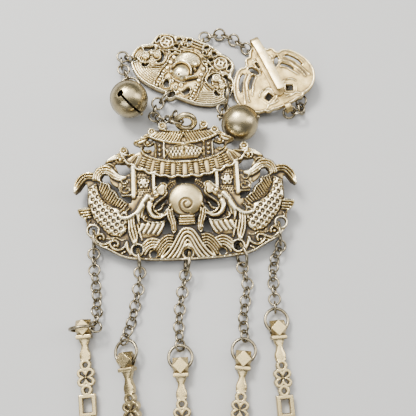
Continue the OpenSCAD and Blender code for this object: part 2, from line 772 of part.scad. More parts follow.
// For each bell, the angle of its loop from the slotted pole, and of the knob on its seam
bell_left_fittings = [180, -49];
bell_right_fittings = [-60, -117];
bell_right_at = [12.3, 95, bell_d / 2];
bell_right_turn = [180, 0, -22];
// Way that the plain half of the right bell faces: from the upright, and about it
bell_right_way = [0, 50, -75];
seam_w = 0.5;
seam_out = 0.25;
bell_loop_d = 3.2;
bell_loop_wire = 0.9;
loop_sunk = 0.75;
knob_d = 1.5;
// The slot's turn from the seam's start, where it begins beside and above the middle, and the
// pair of round holes that forks its end
slot_turn = -44;
slot_from = [-0.55, 0.8];
fork_lean = 38;
fork_spread = 6;
fork_r = 1;
pellet_gap = 0.3;

// A hollow bell about its own axis, with the slotted half at +z and a knob on its seam. The
// loop stands off at an angle from the slotted pole, and its ring lies in the plane of the two.
module bell(loop_way, knob_way) {
    outer = bell_d / 2 - seam_out;
    difference() {
        union() {
            sphere(outer, $fn = ball_fn);
            translate([0, 0, -seam_w / 2])
                cylinder(r = bell_d / 2, h = seam_w, $fn = ball_fn);
            rotate([loop_way, 0, 0])
                translate([0, 0, outer + bell_loop_d / 2 - loop_sunk])
                    rotate([0, 90, 0])
                        wire_ring(bell_loop_d, bell_loop_wire);
            rotate(knob_way)
                translate([bell_d / 2, 0, 0])
                    sphere(d = knob_d, $fn = bead_fn);
        }
        sphere(outer - bell_wall, $fn = ball_fn);
        // Slot with a forked hole at its end
        rotate(slot_turn) {
            translate([slot_from.x * outer, -slot_w / 2, slot_from.y])
                cube([2 * outer, slot_w, outer + past]);
            for (side = [-1, 1])
                rotate([0, -fork_lean, side * fork_spread])
                    cylinder(r = fork_r, h = outer + past, $fn = bead_fn);
        }
    }
}

module bell_left() {
    color([0.66, 0.61, 0.54])
        translate(bell_left_at)
            rotate(bell_left_turn)
                bell(bell_left_fittings[0], bell_left_fittings[1]);
}

module bell_right() {
    color([0.68, 0.63, 0.56])
        translate(bell_right_at)
            rotate(bell_right_way)
                rotate(bell_right_turn)
                    bell(bell_right_fittings[0], bell_right_fittings[1]);
}

// The pellet lies at the bottom of a bell's inside
module pellet(bell_at) {
    color([0.45, 0.42, 0.38])
        translate([bell_at.x, bell_at.y,
            bell_at.z - bell_d / 2 + bell_wall + seam_out + pellet_gap + pellet_d / 2])
            sphere(d = pellet_d, $fn = bead_fn);
}

module bell_pellet_left() pellet(bell_left_at);
module bell_pellet_right() pellet(bell_right_at);

// One free ring of wire at a place, turned from flat
module placed_ring(at, turn, outer, wire) {
    color(ring_colour)
        translate(at)
            rotate(turn)
                wire_ring(outer, wire);
}

left_ring_d = 8.9;
left_ring_wire = 1;
left_ring_at = [-31.3, 113.2, 1.95];
right_ring_d = 11.6;
right_ring_wire = 1.2;
right_ring_at = [7.36, 106.86, 5.85];
right_ring_turn = [88, 0, -97];
// Ring in the left wing's tip: its way, drop and lean
wing_ring = [163, 1.85, 90];
left_chain_path = [[-34.6, 126.2, 0], [-35.1, 123.3, 0], [-34.4, 121.2, 0], [-32.9, 117.6, 0]];
left_chain_roll = -8;
// The two links between the right ring and its bell: place and turn
right_links = [
    [[5.85, 102.1, 4.7], [5, 10, 0]],
    [[5, 99.45, 5.3], [-12, -83, 0]]
];

module bell_ring_left() {
    placed_ring(left_ring_at, flat, left_ring_d, left_ring_wire);
}

module bell_ring_right() {
    placed_ring(right_ring_at, right_ring_turn, right_ring_d, right_ring_wire);
}

// A ring in the wing's tip, and a short chain from it to the bell's ring
module bell_chain_left() {
    color(ring_colour) {
        hooked_ring(cloud_point(wing_hole), wing_ring[0], wing_ring[1], wing_ring[2],
            main_link_d, main_wire);
        chain(left_chain_path, main_link_d, main_wire, left_chain_roll);
    }
}

module bell_chain_right() {
    for (link = right_links)
        placed_ring(link[0], link[1], main_link_d, main_wire);
}

// Upper chain, from the cloud plaque under the hook's plate to the hook's own ring

upper_ring_d = 5.4;
upper_ring_wire = 0.95;
upper_ring_at = cloud_point([0.8, 16.88]);
upper_roll = -49;
upper_path = [
    [1.5, 136.1, 0], [4.9, 136.8, 0], [8.2, 135.6, 0], [11.9, 133.4, 0], [14.6, 131.2, 0],
    [17.6, 128.4, 0], [21, 124.6, 0], [24.4, 120.2, 0], [28.2, 115.6, 0], [32.6, 111.8, 0],
    [36.4, 108.8, 0], [37.1, 106.6, 0], [37, 103.2, 0.1], [35.1, 101.4, 1.65]
];

module upper_ring() {
    placed_ring([upper_ring_at.x, upper_ring_at.y, cloud_lift + cloud_t / 2], flat,
        upper_ring_d, upper_ring_wire);
}

module upper_chain() {
    color(ring_colour)
        chain(upper_path, main_link_d, main_wire, upper_roll);
}

hook_ring_d = 5.8;
hook_ring_wire = 1;
hook_ring_slope = 42;
// How far the ring's wire runs off the middle of the barrel's bore
hook_ring_off = 0.25;

module hook_ring() {
    color(ring_colour)
        on_hook()
            translate(barrel_at)
                rotate([hook_ring_slope, 0, 0])
                    translate([0, hook_ring_off - (hook_ring_d - hook_ring_wire) / 2, 0])
                        wire_ring(hook_ring_d, hook_ring_wire);
}

// Middle chain, from a ring in the cloud plaque's lower loop to the thick ring

middle_ring_d = 8;
middle_ring_wire = 1.05;
// Way, drop and lean of the ring in the plaque's lower loop
middle_ring_set = [-135, 2.35, 82];
middle_roll = -18;
middle_path = [
    [-19.9, 105, 0.9], [-21.6, 101.4, 0], [-22.1, 100.9, 0], [-19.5, 98, 0],
    [-17.1, 97.4, 1.8], [-14.7, 96.3, 4.3], [-12.95, 96.6, 7.5]
];
// Larger last link, round the thick ring
end_link_d = 6.2;
end_link_wire = 1;
end_link_at = [-11.9, 93.95, 12.3];
end_link_turn = [-9, 42, 55];

module middle_ring() {
    color(ring_colour)
        hooked_ring(cloud_point(loop_at), middle_ring_set[0], middle_ring_set[1],
            middle_ring_set[2], middle_ring_d, middle_ring_wire);
}

module middle_chain() {
    color(ring_colour)
        chain(middle_path, main_link_d, main_wire, middle_roll);
    placed_ring(end_link_at, end_link_turn, end_link_d, end_link_wire);
}

// Tassels: a ring in each hole of the carp plaque, a chain, a tool ring and a tool

// For each tassel's ring: how far its middle lies from its hole, its turn from straight down
// the plaque, and its lean from flat
tassel_rings = [
    [4.1, 0, 80],
    [4.1, 5, 83],
    [4.05, -8, 78],
    [4, 14, 72],
    [4.1, 0, 96]
];
// How far beyond each ring's middle its chain's first link lies, and how far below
first_link_reach = [4, 4.05, 4.05, 4.1, 4.1];
first_link_low = [1.9, 2.5, 1.7, 2.5, 2.8];

function tassel_way(i) = -90 + carp_turn + tassel_rings[i][1];

// Middle of the first link, which holds the ring where the ring is low
function tassel_start(i) =
    let (hole = carp_point(ring_holes[i][0]), way = tassel_way(i),
        out = tassel_rings[i][0] + first_link_reach[i],
        aside = -first_link_low[i] / tan(tassel_rings[i][2]))
    [hole.x + out * cos(way) - aside * sin(way), hole.y + out * sin(way) + aside * cos(way)];

// Places of each chain on the table plan, between its first and its last link
tassel_paths = [
    [[-41.6, 37.7], [-40.5, 31.1], [-40, 25.3]],
    [[-25.2, 32.8], [-26.1, 26.5], [-27.4, 20]],
    [[-9.2, 31.3], [-10.1, 24.9], [-10.5, 18.7]],
    [[14.4, 33.5], [13.4, 26.8], [12.5, 20.8]],
    [[24.6, 43.1], [23.7, 36.9], [24, 30.7]]
];

// Roll of each chain's first link, and how far the chain twists along its length
tassel_rolls = [
    [-6, 75],
    [-9, -52],
    [-12, -30],
    [-5, -46],
    [-26, -56]
];

// Middle of each tool's head on the table plan, and the direction of its shank
tool_heads = [
    [[-44.3, 18], -83.9],
    [[-28.6, 6.8], -81.8],
    [[-9.6, 5], -87.4],
    [[12.4, 7.3], -94.8],
    [[24.7, 17.8], -85.8]
];

// Roll of each tool about its own length
tool_rolls = [0, 20, 0, 0, -6];

// How much a tool's head dips at its front, because the tool slopes down to its tip
head_dip = 0.08;
bore_drop = 0.9;
bore_r = 1.4;
// How far a tool ring's wire runs off its own middle line inside the bore
bore_off = 0.53;

// For each tool ring: its rise from the table along the chain's way, and its turn in the bore
tool_rings = [
    [86, 0.5],
    [-6, 0],
    [-5.5, 0],
    [-2.5, 0],
    [-4, 0]
];

// How far the last link lies beyond the middle of each tool ring, and how high it is held
last_reach = [0, 4.45, 4.2, 5.1, 4.7];
last_lifts = [3.5, 0.25, 0, 0.16, 0];
first_tool_link = [-39.5, 18];

tool_ring_r = (tool_ring_d - tool_ring_wire) / 2;

module tassel_ring(i) {
    color([0.74, 0.7, 0.62])
        hooked_ring(carp_point(ring_holes[i][0]), tassel_way(i), tassel_rings[i][0],
            tassel_rings[i][2], ring_d, ring_wire);
}

module tassel_chain(i) {
    points = concat([tassel_start(i)], tassel_paths[i], [tassel_end(i)]);
    last = len(points) - 1;
    color([0.7, 0.66, 0.58])
        chain([for (k = [0:last]) [points[k].x, points[k].y, k == last ? last_lifts[i] : 0]],
            link_d, link_wire, tassel_rolls[i][0], tassel_rolls[i][1]);
}

function tool_way(i) = tool_heads[i][1];

function tassel_end(i) =
    let (head = tool_heads[i][0], way = tool_way(i),
        back = tool_ring_r - bore_off - bore_drop + last_reach[i])
    i == 0 ? first_tool_link : [head.x - back * cos(way), head.y - back * sin(way)];

function tool_lift(i) =
    head_w / 2 * (cos(tool_rolls[i]) + abs(sin(tool_rolls[i]))) + head_dip;

// The frame of a tool: x along its shank, from the middle of its head
module on_tool(i) {
    head = tool_heads[i][0];
    translate([head.x, head.y, tool_lift(i)])
        rotate(tool_way(i))
            rotate([tool_rolls[i], 0, 0])
                children();
}

module tool_ring(i) {
    color([0.76, 0.72, 0.64])
        on_tool(i)
            translate([bore_drop, 0, 0])
                rotate([0, 180 + tool_rings[i][0], tool_rings[i][1]])
                    translate([tool_ring_r - bore_off, 0, 0])
                        wire_ring(tool_ring_d, tool_ring_wire);
}

// The head, a cube whose corners are cut to the middles of its edges
module tool_head() {
    h = head_w / 2;
    corners = [
        [h, h, 0], [h, -h, 0], [-h, -h, 0], [-h, h, 0],
        [h, 0, h], [0, h, h], [-h, 0, h], [0, -h, h],
        [h, 0, -h], [0, h, -h], [-h, 0, -h], [0, -h, -h]
    ];
    polyhedron(corners, [
        [4, 7, 6, 5], [8, 9, 10, 11], [0, 8, 1, 4], [2, 10, 3, 6], [0, 5, 3, 9], [1, 11, 2, 7],
        [0, 4, 5], [1, 7, 4], [2, 6, 7], [3, 5, 6], [0, 9, 8], [1, 8, 11], [2, 11, 10], [3, 10, 9]
    ]);
}

// Outline of the shank's turned part, as half widths at distances from the head's middle
baluster = [
    [2.4, 2], [2.6, 2.7], [4, 2.7], [4.05, 1.9], [5, 1.6], [6.4, 1.05], [7.6, 1.3], [8.8, 1.8],
    [9.8, 1.95], [10.8, 1.8], [11.4, 1.7]
];

collar_from = 2.6;
collar_l = 1.4;
collar_h = 4.5;
// Round holes of the shank: their places, and the radii of the hole and of the disc round it
hole_one = 13;
hole_two = 21.5;
shank_hole_r = 1;
shank_disc_r = 2;
// Four-lobed leaf between them
leaf_at = 17.2;
leaf_r = 1.6;
leaf_spread = 1.5;
leaf_slit = 0.95;
leaf_body = [4.4, 3.2];
// Frame with a window
frame_from = 22.9;
frame_to = 30.2;
frame_w = 5.9;
window_w = 3.1;
window_from = 24.2;
window_to = 28.9;

module shank_plan() {
    polygon(concat(baluster, [for (k = [len(baluster) - 1:-1:0]) [baluster[k].x, -baluster[k].y]]));
    for (x = [hole_one, hole_two])
        translate([x, 0])
            circle(shank_disc_r, $fn = bead_fn);
    for (x = [-leaf_spread, leaf_spread])
        for (y = [-leaf_spread, leaf_spread])
            translate([leaf_at + x, y])
                circle(leaf_r, $fn = bead_fn);
    translate([leaf_at - leaf_body.x / 2, -leaf_body.y / 2])
        square(leaf_body);
    translate([frame_from, -frame_w / 2])
        square([frame_to - frame_from, frame_w]);
}

module shank_open() {
    for (x = [-leaf_spread, leaf_spread])
        for (y = [-leaf_spread, leaf_spread])
            band([[leaf_at, 0], [leaf_at + x, y]], leaf_slit);
    translate([window_from, -window_w / 2])
        square([window_to - window_from, window_w]);
}

// Half the width of the widest working end
tip_half_w = 2.4;

// The working end, plain, a different one on each tool
module tool_end(i) {
    from = frame_to - 0.3;
    to = tool_l;
    if (i == 0)
        polygon([[from, -1.3], [to - 8, -1], [to, -0.15], [to, 0.15], [to - 8, 1], [from, 1.3]]);
    if (i == 1) {
        translate([from, -0.9])
            square([to - from - 2, 1.8]);
        translate([to - 2.2, 0])
            circle(2.2, $fn = bead_fn);
    }
    if (i == 2)
        polygon([[from, -1.2], [to - 14, -1.2], [to - 13, -2.4], [to - 2, -1.4], [to, 0],
            [to - 2, 1.4], [to - 13, 2.4], [to - 14, 1.2], [from, 1.2]]);
    if (i == 3)
        polygon([[from, -1.4], [to - 3, -0.8], [to, -0.2], [to, 0.2], [to - 3, 0.8], [from, 1.4]]);
    if (i == 4) {
        translate([from, -1])
            square([to - from - 6, 2]);
        polygon([[to - 7, -1], [to, -2.2], [to, -0.6], [to - 4, 0], [to, 0.6], [to, 2.2],
            [to - 7, 1]]);
    }
}

module tool(i) {
    head = tool_heads[i][0];
    roll = tool_rolls[i];
    low = shank_t / 2 * cos(roll) + tip_half_w * abs(sin(roll));
    sink = asin((tool_lift(i) - low) / tool_l);
    color([0.86, 0.81, 0.7])
        translate([head.x, head.y, tool_lift(i)])
            rotate([0, sink, tool_way(i)])
                rotate([tool_rolls[i], 0, 0])
                    difference() {
                        union() {
                            tool_head();
                            translate([0, 0, -shank_t / 2])
                                linear_extrude(shank_t)
                                    merged()
                                        difference() {
                                            union() {
                                                shank_plan();
                                                tool_end(i);
                                            }
                                            shank_open();
                                        }
                            translate([collar_from, -head_w / 2, -collar_h / 2])
                                cube([collar_l, head_w, collar_h]);
                        }
                        // Bore for the ring, and the two round holes of the shank
                        translate([bore_drop, 0, 0])
                            rotate([90, 0, 0])
                                cylinder(r = bore_r, h = head_w + past, center = true, $fn = fine);
                        for (x = [hole_one, hole_two])
                            translate([x, 0, 0])
                                cylinder(r = shank_hole_r, h = shank_t + past, center = true, $fn = fine);
                    }
}

module tassel_ring_1() tassel_ring(0);
module tassel_ring_2() tassel_ring(1);
module tassel_ring_3() tassel_ring(2);
module tassel_ring_4() tassel_ring(3);
module tassel_ring_5() tassel_ring(4);
module tassel_chain_1() tassel_chain(0);
module tassel_chain_2() tassel_chain(1);
module tassel_chain_3() tassel_chain(2);
module tassel_chain_4() tassel_chain(3);
module tassel_chain_5() tassel_chain(4);
module tool_ring_1() tool_ring(0);
module tool_ring_2() tool_ring(1);
module tool_ring_3() tool_ring(2);
module tool_ring_4() tool_ring(3);
module tool_ring_5() tool_ring(4);
module tool_1() tool(0);
module tool_2() tool(1);
module tool_3() tool(2);
module tool_4() tool(3);
module tool_5() tool(4);

// Puts the middle of the object's box at the origin
module centred() {
    translate([-middle.x, -middle.y, 0])
        children();
}

centred() garment_hook();
centred() upper_ring();
centred() upper_chain();
centred() hook_ring();
centred() cloud_plaque();
centred() bell_left();
centred() bell_right();
centred() bell_pellet_left();
centred() bell_pellet_right();
centred() bell_ring_left();
centred() bell_ring_right();
centred() bell_chain_left();
centred() bell_chain_right();
centred() middle_ring();
centred() middle_chain();
centred() suspension_ring();
centred() carp_plaque();
centred() tassel_ring_1();
centred() tassel_ring_2();
centred() tassel_ring_3();
centred() tassel_ring_4();
centred() tassel_ring_5();
centred() tassel_chain_1();
centred() tassel_chain_2();
centred() tassel_chain_3();
centred() tassel_chain_4();
centred() tassel_chain_5();
centred() tool_ring_1();
centred() tool_ring_2();
centred() tool_ring_3();
centred() tool_ring_4();
centred() tool_ring_5();
centred() tool_1();
centred() tool_2();
centred() tool_3();
centred() tool_4();
centred() tool_5();
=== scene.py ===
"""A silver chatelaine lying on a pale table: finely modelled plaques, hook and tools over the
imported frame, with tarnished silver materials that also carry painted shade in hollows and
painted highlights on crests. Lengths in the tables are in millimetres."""
import itertools
import math

import bmesh
import bpy
import numpy as np
from mathutils import Matrix, Vector
from mathutils.geometry import delaunay_2d_cdt


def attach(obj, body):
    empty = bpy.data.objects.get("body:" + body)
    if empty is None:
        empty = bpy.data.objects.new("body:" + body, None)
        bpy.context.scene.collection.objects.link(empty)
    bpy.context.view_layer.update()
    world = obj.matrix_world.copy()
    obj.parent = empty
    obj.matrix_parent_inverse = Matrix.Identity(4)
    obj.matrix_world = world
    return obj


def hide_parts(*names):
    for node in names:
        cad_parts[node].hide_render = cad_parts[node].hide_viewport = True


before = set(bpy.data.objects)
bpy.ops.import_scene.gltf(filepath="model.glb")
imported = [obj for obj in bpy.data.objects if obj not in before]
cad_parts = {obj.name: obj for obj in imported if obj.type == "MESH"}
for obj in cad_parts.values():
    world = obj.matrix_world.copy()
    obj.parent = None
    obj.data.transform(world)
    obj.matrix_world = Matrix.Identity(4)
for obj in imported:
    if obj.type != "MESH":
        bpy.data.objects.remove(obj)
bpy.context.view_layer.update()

MM = 0.001
# Middle of the lying object's box on the table plan, as in the part's source
MIDDLE = (-3.8, 39.0)


# Camera, floor and light

CAMERA_AT = (3.8, -39.0, 220.0)
CAMERA_DOWN = 74.0
FOCAL_PIXELS = 600.0
IMAGE_PIXELS = 416.0
SENSOR = 36.0
# Area lights that face the origin: name, place and size in metres, power in watts, colour
LIGHTS = [
    ("above", (-0.02, 0.22, 0.8), (1.1, 0.8), 12.0, (1.0, 0.985, 0.95)),
    ("left", (-0.62, 0.18, 0.55), (0.3, 0.6), 3.2, (1.0, 0.98, 0.94)),
    ("key", (-0.28, 0.42, 0.62), (0.26, 0.2), 13.5, (1.0, 0.985, 0.95)),
    ("side", (0.62, 0.12, 0.4), (0.25, 0.5), 4.4, (1.0, 0.97, 0.93)),
    ("front", (-0.3, -0.6, 0.45), (0.5, 0.25), 3.0, (0.95, 0.98, 1.0))]
SKY_COLOUR, SKY_STRENGTH = (0.62, 0.64, 0.67, 1.0), 0.36
FLOOR_HALF = 3.0
FLOOR_COLOUR, FLOOR_ROUGHNESS = (0.335, 0.335, 0.331, 1.0), 0.7


def placed(name, data):
    """A new object in the scene."""
    obj = bpy.data.objects.new(name, data)
    bpy.context.scene.collection.objects.link(obj)
    return obj


def make_camera():
    data = bpy.data.cameras.new("camera")
    data.sensor_width = SENSOR
    data.lens = SENSOR * FOCAL_PIXELS / IMAGE_PIXELS
    data.clip_start = 0.01
    data.clip_end = 20.0
    cam = placed("camera", data)
    cam.location = Vector(CAMERA_AT) * MM
    cam.rotation_euler = (math.radians(90.0 - CAMERA_DOWN), 0.0, 0.0)
    bpy.context.scene.camera = cam


def make_light():
    for name, at, size, power, colour in LIGHTS:
        data = bpy.data.lights.new(name, "AREA")
        data.shape = "RECTANGLE"
        data.size, data.size_y = size
        data.energy = power
        data.color = colour
        light = placed(name, data)
        light.location = at
        light.rotation_mode = "QUATERNION"
        light.rotation_quaternion = (-Vector(at)).to_track_quat("-Z", "Y")
    world = bpy.data.worlds.new("studio")
    bpy.context.scene.world = world
    world.use_nodes = True
    back = world.node_tree.nodes["Background"]
    back.inputs["Color"].default_value = SKY_COLOUR
    back.inputs["Strength"].default_value = SKY_STRENGTH


def make_floor():
    mesh = bpy.data.meshes.new("floor")
    corners = [(x * FLOOR_HALF, y * FLOOR_HALF, 0) for x, y in ((-1, -1), (1, -1), (1, 1), (-1, 1))]
    mesh.from_pydata(corners, [], [(0, 1, 2, 3)])
    floor = placed("floor", mesh)
    mat = bpy.data.materials.new("pale_paper")
    mat.use_nodes = True
    shader = mat.node_tree.nodes["Principled BSDF"]
    shader.inputs["Base Color"].default_value = FLOOR_COLOUR
    shader.inputs["Roughness"].default_value = FLOOR_ROUGHNESS
    floor.data.materials.append(mat)


# Materials

# Colours in linear light
CREAM = (0.70, 0.585, 0.355)
PALE = (0.80, 0.71, 0.48)
SILVER = (0.43, 0.35, 0.185)
STRAW = (0.275, 0.197, 0.08)
HONEY = (0.57, 0.44, 0.215)
PEACH = (0.42, 0.31, 0.125)
BROWN = (0.08, 0.055, 0.027)
# Near black of the most closed in places: tarnish darkened further by painted shade
TARNISH_SHADE_BLACK = (0.014, 0.011, 0.008)
GREY = (0.30, 0.25, 0.155)
DULL = (0.15, 0.127, 0.083)
IRON = (0.25, 0.212, 0.14)
DARK_IRON = (0.06, 0.052, 0.042)
# Colours from the most worn places, lightened further as painted highlight, to the most closed in
# ones, darkened by tarnish and painted shade
WARM_STOPS = [(0.0, PALE), (0.28, SILVER), (0.5, STRAW), (0.68, BROWN), (0.88, TARNISH_SHADE_BLACK)]
HOOK_STOPS = [(0.0, CREAM), (0.2, HONEY), (0.42, PEACH), (0.66, STRAW), (0.95, BROWN)]
GREY_STOPS = [(0.0, SILVER), (0.3, GREY), (0.6, DULL), (0.85, BROWN), (0.97, TARNISH_SHADE_BLACK)]
LINK_STOPS = [(0.0, IRON), (0.35, DULL), (0.6, BROWN), (0.95, TARNISH_SHADE_BLACK)]
TOOL_STOPS = [(0.0, HONEY), (0.3, SILVER), (0.5, GREY), (0.7, STRAW), (0.95, BROWN)]
PELLET_STOPS = [(0.0, DULL), (0.6, DARK_IRON), (1.0, TARNISH_SHADE_BLACK)]
METAL_STOPS = [(0.0, 1.0), (0.55, 0.95), (0.95, 0.45)]
# Depths in metres, and the stretch of the scratches with its direction in degrees
PIT_DEPTH, SCRATCH_DEPTH = 0.00002, 0.00001
SCRATCH_STRETCH = (14.0, 20.0)


class Nodes:
    """Short calls for building one material's nodes."""

    def __init__(self, name):
        self.mat = bpy.data.materials.new(name)
        self.mat.use_nodes = True
        self.tree = self.mat.node_tree
        self.shader = self.tree.nodes["Principled BSDF"]
        place = self.tree.nodes.new("ShaderNodeTexCoord")
        scale = self.tree.nodes.new("ShaderNodeMapping")
        scale.inputs["Scale"].default_value = (1.0 / MM,) * 3
        self.link(place.outputs["Object"], scale.inputs["Vector"])
        self.place = scale.outputs["Vector"]

    def link(self, source, target):
        self.tree.links.new(source, target)

    def noise(self, scale, detail, stretch=None):
        where = self.place
        if stretch:
            bend = self.tree.nodes.new("ShaderNodeMapping")
            bend.inputs["Rotation"].default_value = (0.0, 0.0, math.radians(stretch[1]))
            bend.inputs["Scale"].default_value = (1.0, stretch[0], 1.0)
            self.link(where, bend.inputs["Vector"])
            where = bend.outputs["Vector"]
        node = self.tree.nodes.new("ShaderNodeTexNoise")
        node.inputs["Scale"].default_value = scale
        node.inputs["Detail"].default_value = detail
        self.link(where, node.inputs["Vector"])
        return node.outputs["Fac"]

    def math(self, kind, a, b):
        node = self.tree.nodes.new("ShaderNodeMath")
        node.operation = kind
        for socket, value in zip(node.inputs, (a, b)):
            if isinstance(value, (int, float)):
                socket.default_value = value
            else:
                self.link(value, socket)
        return node.outputs["Value"]

    def blotched(self, value, scale, detail, size):
        """A value with noise added, as much below zero as above it."""
        noise = self.math("SUBTRACT", self.noise(scale, detail), 0.5)
        return self.math("ADD", value, self.math("MULTIPLY", noise, size))

    def ramp(self, value, stops):
        node = self.tree.nodes.new("ShaderNodeValToRGB")
        bar = node.color_ramp
        while len(bar.elements) < len(stops):
            bar.elements.new(0.5)
        for element, (at, colour) in zip(bar.elements, stops):
            element.position = at
            if isinstance(colour, (int, float)):
                colour = (colour,) * 3
            element.color = (*colour, 1.0)
        self.link(value, node.inputs["Fac"])
        return node.outputs["Color"]

    def attribute(self, name):
        node = self.tree.nodes.new("ShaderNodeAttribute")
        node.attribute_name = name
        return node.outputs["Fac"]

    def hidden(self, reach):
        """How far a point is closed in by what is near it: 0 in the open, 1 in a corner."""
        node = self.tree.nodes.new("ShaderNodeAmbientOcclusion")
        node.samples = 6
        node.inputs["Distance"].default_value = reach
        return self.math("SUBTRACT", 1.0, node.outputs["AO"])

    def bump(self, layers):
        """Height layers of (value, depth in metres), laid over one another."""
        normal = None
        for value, depth in layers:
            node = self.tree.nodes.new("ShaderNodeBump")
            node.inputs["Distance"].default_value = depth
            node.inputs["Strength"].default_value = 1.0
            self.link(value, node.inputs["Height"])
            if normal is not None:
                self.link(normal, node.inputs["Normal"])
            normal = node.outputs["Normal"]
        self.link(normal, self.shader.inputs["Normal"])


def silver(name, stops, recess, rough, cloud=0.22):
    """Old silver: bright where worn, with painted highlight; straw and brown where closed in, as
    tarnish and painted shade.
    """
    n = Nodes(name)
    shade = n.blotched(recess(n), 0.35, 4.0, cloud * 2.0)
    shade = n.blotched(shade, 2.6, 5.0, cloud)
    n.link(n.ramp(shade, stops), n.shader.inputs["Base Color"])
    n.link(n.ramp(shade, METAL_STOPS), n.shader.inputs["Metallic"])
    smear = n.blotched(shade, 1.1, 6.0, 0.5)
    n.link(n.ramp(smear, [(0.1, rough[0]), (0.8, rough[1])]), n.shader.inputs["Roughness"])
    n.bump([(n.noise(5.0, 3.0), PIT_DEPTH), (n.noise(2.2, 2.0, SCRATCH_STRETCH), SCRATCH_DEPTH)])
    return n.mat


# Tarnish and painted shade in closed in places, from ambient occlusion
def closed_in(reach, gain, start):
    return lambda n: n.math("ADD", n.math("MULTIPLY", n.hidden(reach), gain), start)


# A relief's painted closed-in value: tarnish and painted shade in hollows, wear and painted
# highlight on crests
def painted(n):
    return n.attribute("hollow")


# Lines and outlines

def smooth_line(points):
    """A curve through the points, with a few steps between each two."""
    p = np.asarray(points, float)
    if len(p) < 3:
        return p
    ends = np.vstack([2 * p[0] - p[1], p, 2 * p[-1] - p[-2]])
    t = np.linspace(0.0, 1.0, 4, endpoint=False)[:, None]
    out = []
    for a, b, c, d in zip(ends[:-3], ends[1:-2], ends[2:-1], ends[3:]):
        out.append(0.5 * (2 * b + (c - a) * t + (2 * a - 5 * b + 4 * c - d) * t ** 2
                          + (3 * b - a - 3 * c + d) * t ** 3))
    return np.vstack(out + [p[-1:]])


def resampled(points, count):
    p = np.asarray(points, float)
    steps = np.hypot(*np.diff(p, axis=0).T)
    far = np.concatenate([[0.0], np.cumsum(steps)])
    at = np.linspace(0.0, far[-1], count)
    return np.column_stack([np.interp(at, far, p[:, 0]), np.interp(at, far, p[:, 1])])


def spiral(centre, radii, turns, start, way=1.0, count=40):
    """Points of a spiral from its first radius to its last."""
    t = np.linspace(0.0, 1.0, count)
    angle = math.radians(start) + way * 2 * math.pi * turns * t
    r = radii[0] + (radii[1] - radii[0]) * t ** 1.7
    return np.column_stack([centre[0] + r * np.cos(angle), centre[1] + r * np.sin(angle)])


def round_places(centre, radius, count, start):
    """Places on a circle, counterclockwise from an angle in degrees."""
    angles = [math.radians(start + 360 / count * k) for k in range(count)]
    return [(centre[0] + radius * math.cos(a), centre[1] + radius * math.sin(a)) for a in angles]


def mirrored(points, axis):
    p = np.array(points, float)
    p[:, 0] = 2 * axis - p[:, 0]
    return p


def fade(depth, over):
    """Rises from 0 to 1 over a length."""
    return np.clip(depth / over, 0.0, 1.0)


def hump(far, half):
    """Falls from 1 to 0 at half a width."""
    return np.clip(1.0 - (far / half) ** 2, 0.0, 1.0)


def line_distance(x, y, points):
    """Distance from a line of points, and how far along the line the nearest point is."""
    p = np.asarray(points, float)
    if len(p) == 1:
        p = np.vstack([p, p])
    best = np.full(np.broadcast(x, y).shape, np.inf)
    share = np.zeros_like(best)
    for i, (a, run) in enumerate(zip(p, np.diff(p, axis=0))):
        t = ((x - a[0]) * run[0] + (y - a[1]) * run[1]) / max(run @ run, 1e-12)
        t = np.clip(t, 0.0, 1.0)
        d = np.hypot(x - a[0] - t * run[0], y - a[1] - t * run[1])
        share = np.where(d < best, (i + t) / (len(p) - 1), share)
        best = np.minimum(best, d)
    return best, share


def enclosed(x, y, starts, ends):
    """Whether points lie inside closed loops of edges, from the edges that lie to their right."""
    odd = np.zeros(np.broadcast(x, y).shape, bool)
    for (ax, ay), (bx, by) in zip(starts, ends):
        if ay != by:
            level = (y > min(ay, by)) & (y <= max(ay, by))
            odd ^= level & (x < ax + (y - ay) * (bx - ax) / (by - ay))
    return odd


def outline_distance(x, y, outline):
    """Distance inside a closed outline, negative outside it."""
    p = np.asarray(outline, float)
    d = line_distance(x, y, np.vstack([p, p[:1]]))[0]
    return np.where(enclosed(x, y, p, np.roll(p, -1, axis=0)), d, -d)


# Grids of heights and signed distances, painted stroke by stroke

ALL = (slice(None), slice(None))
OUTSIDE = -1e9
PAINT_STEP = 0.13
GROUND = -0.3


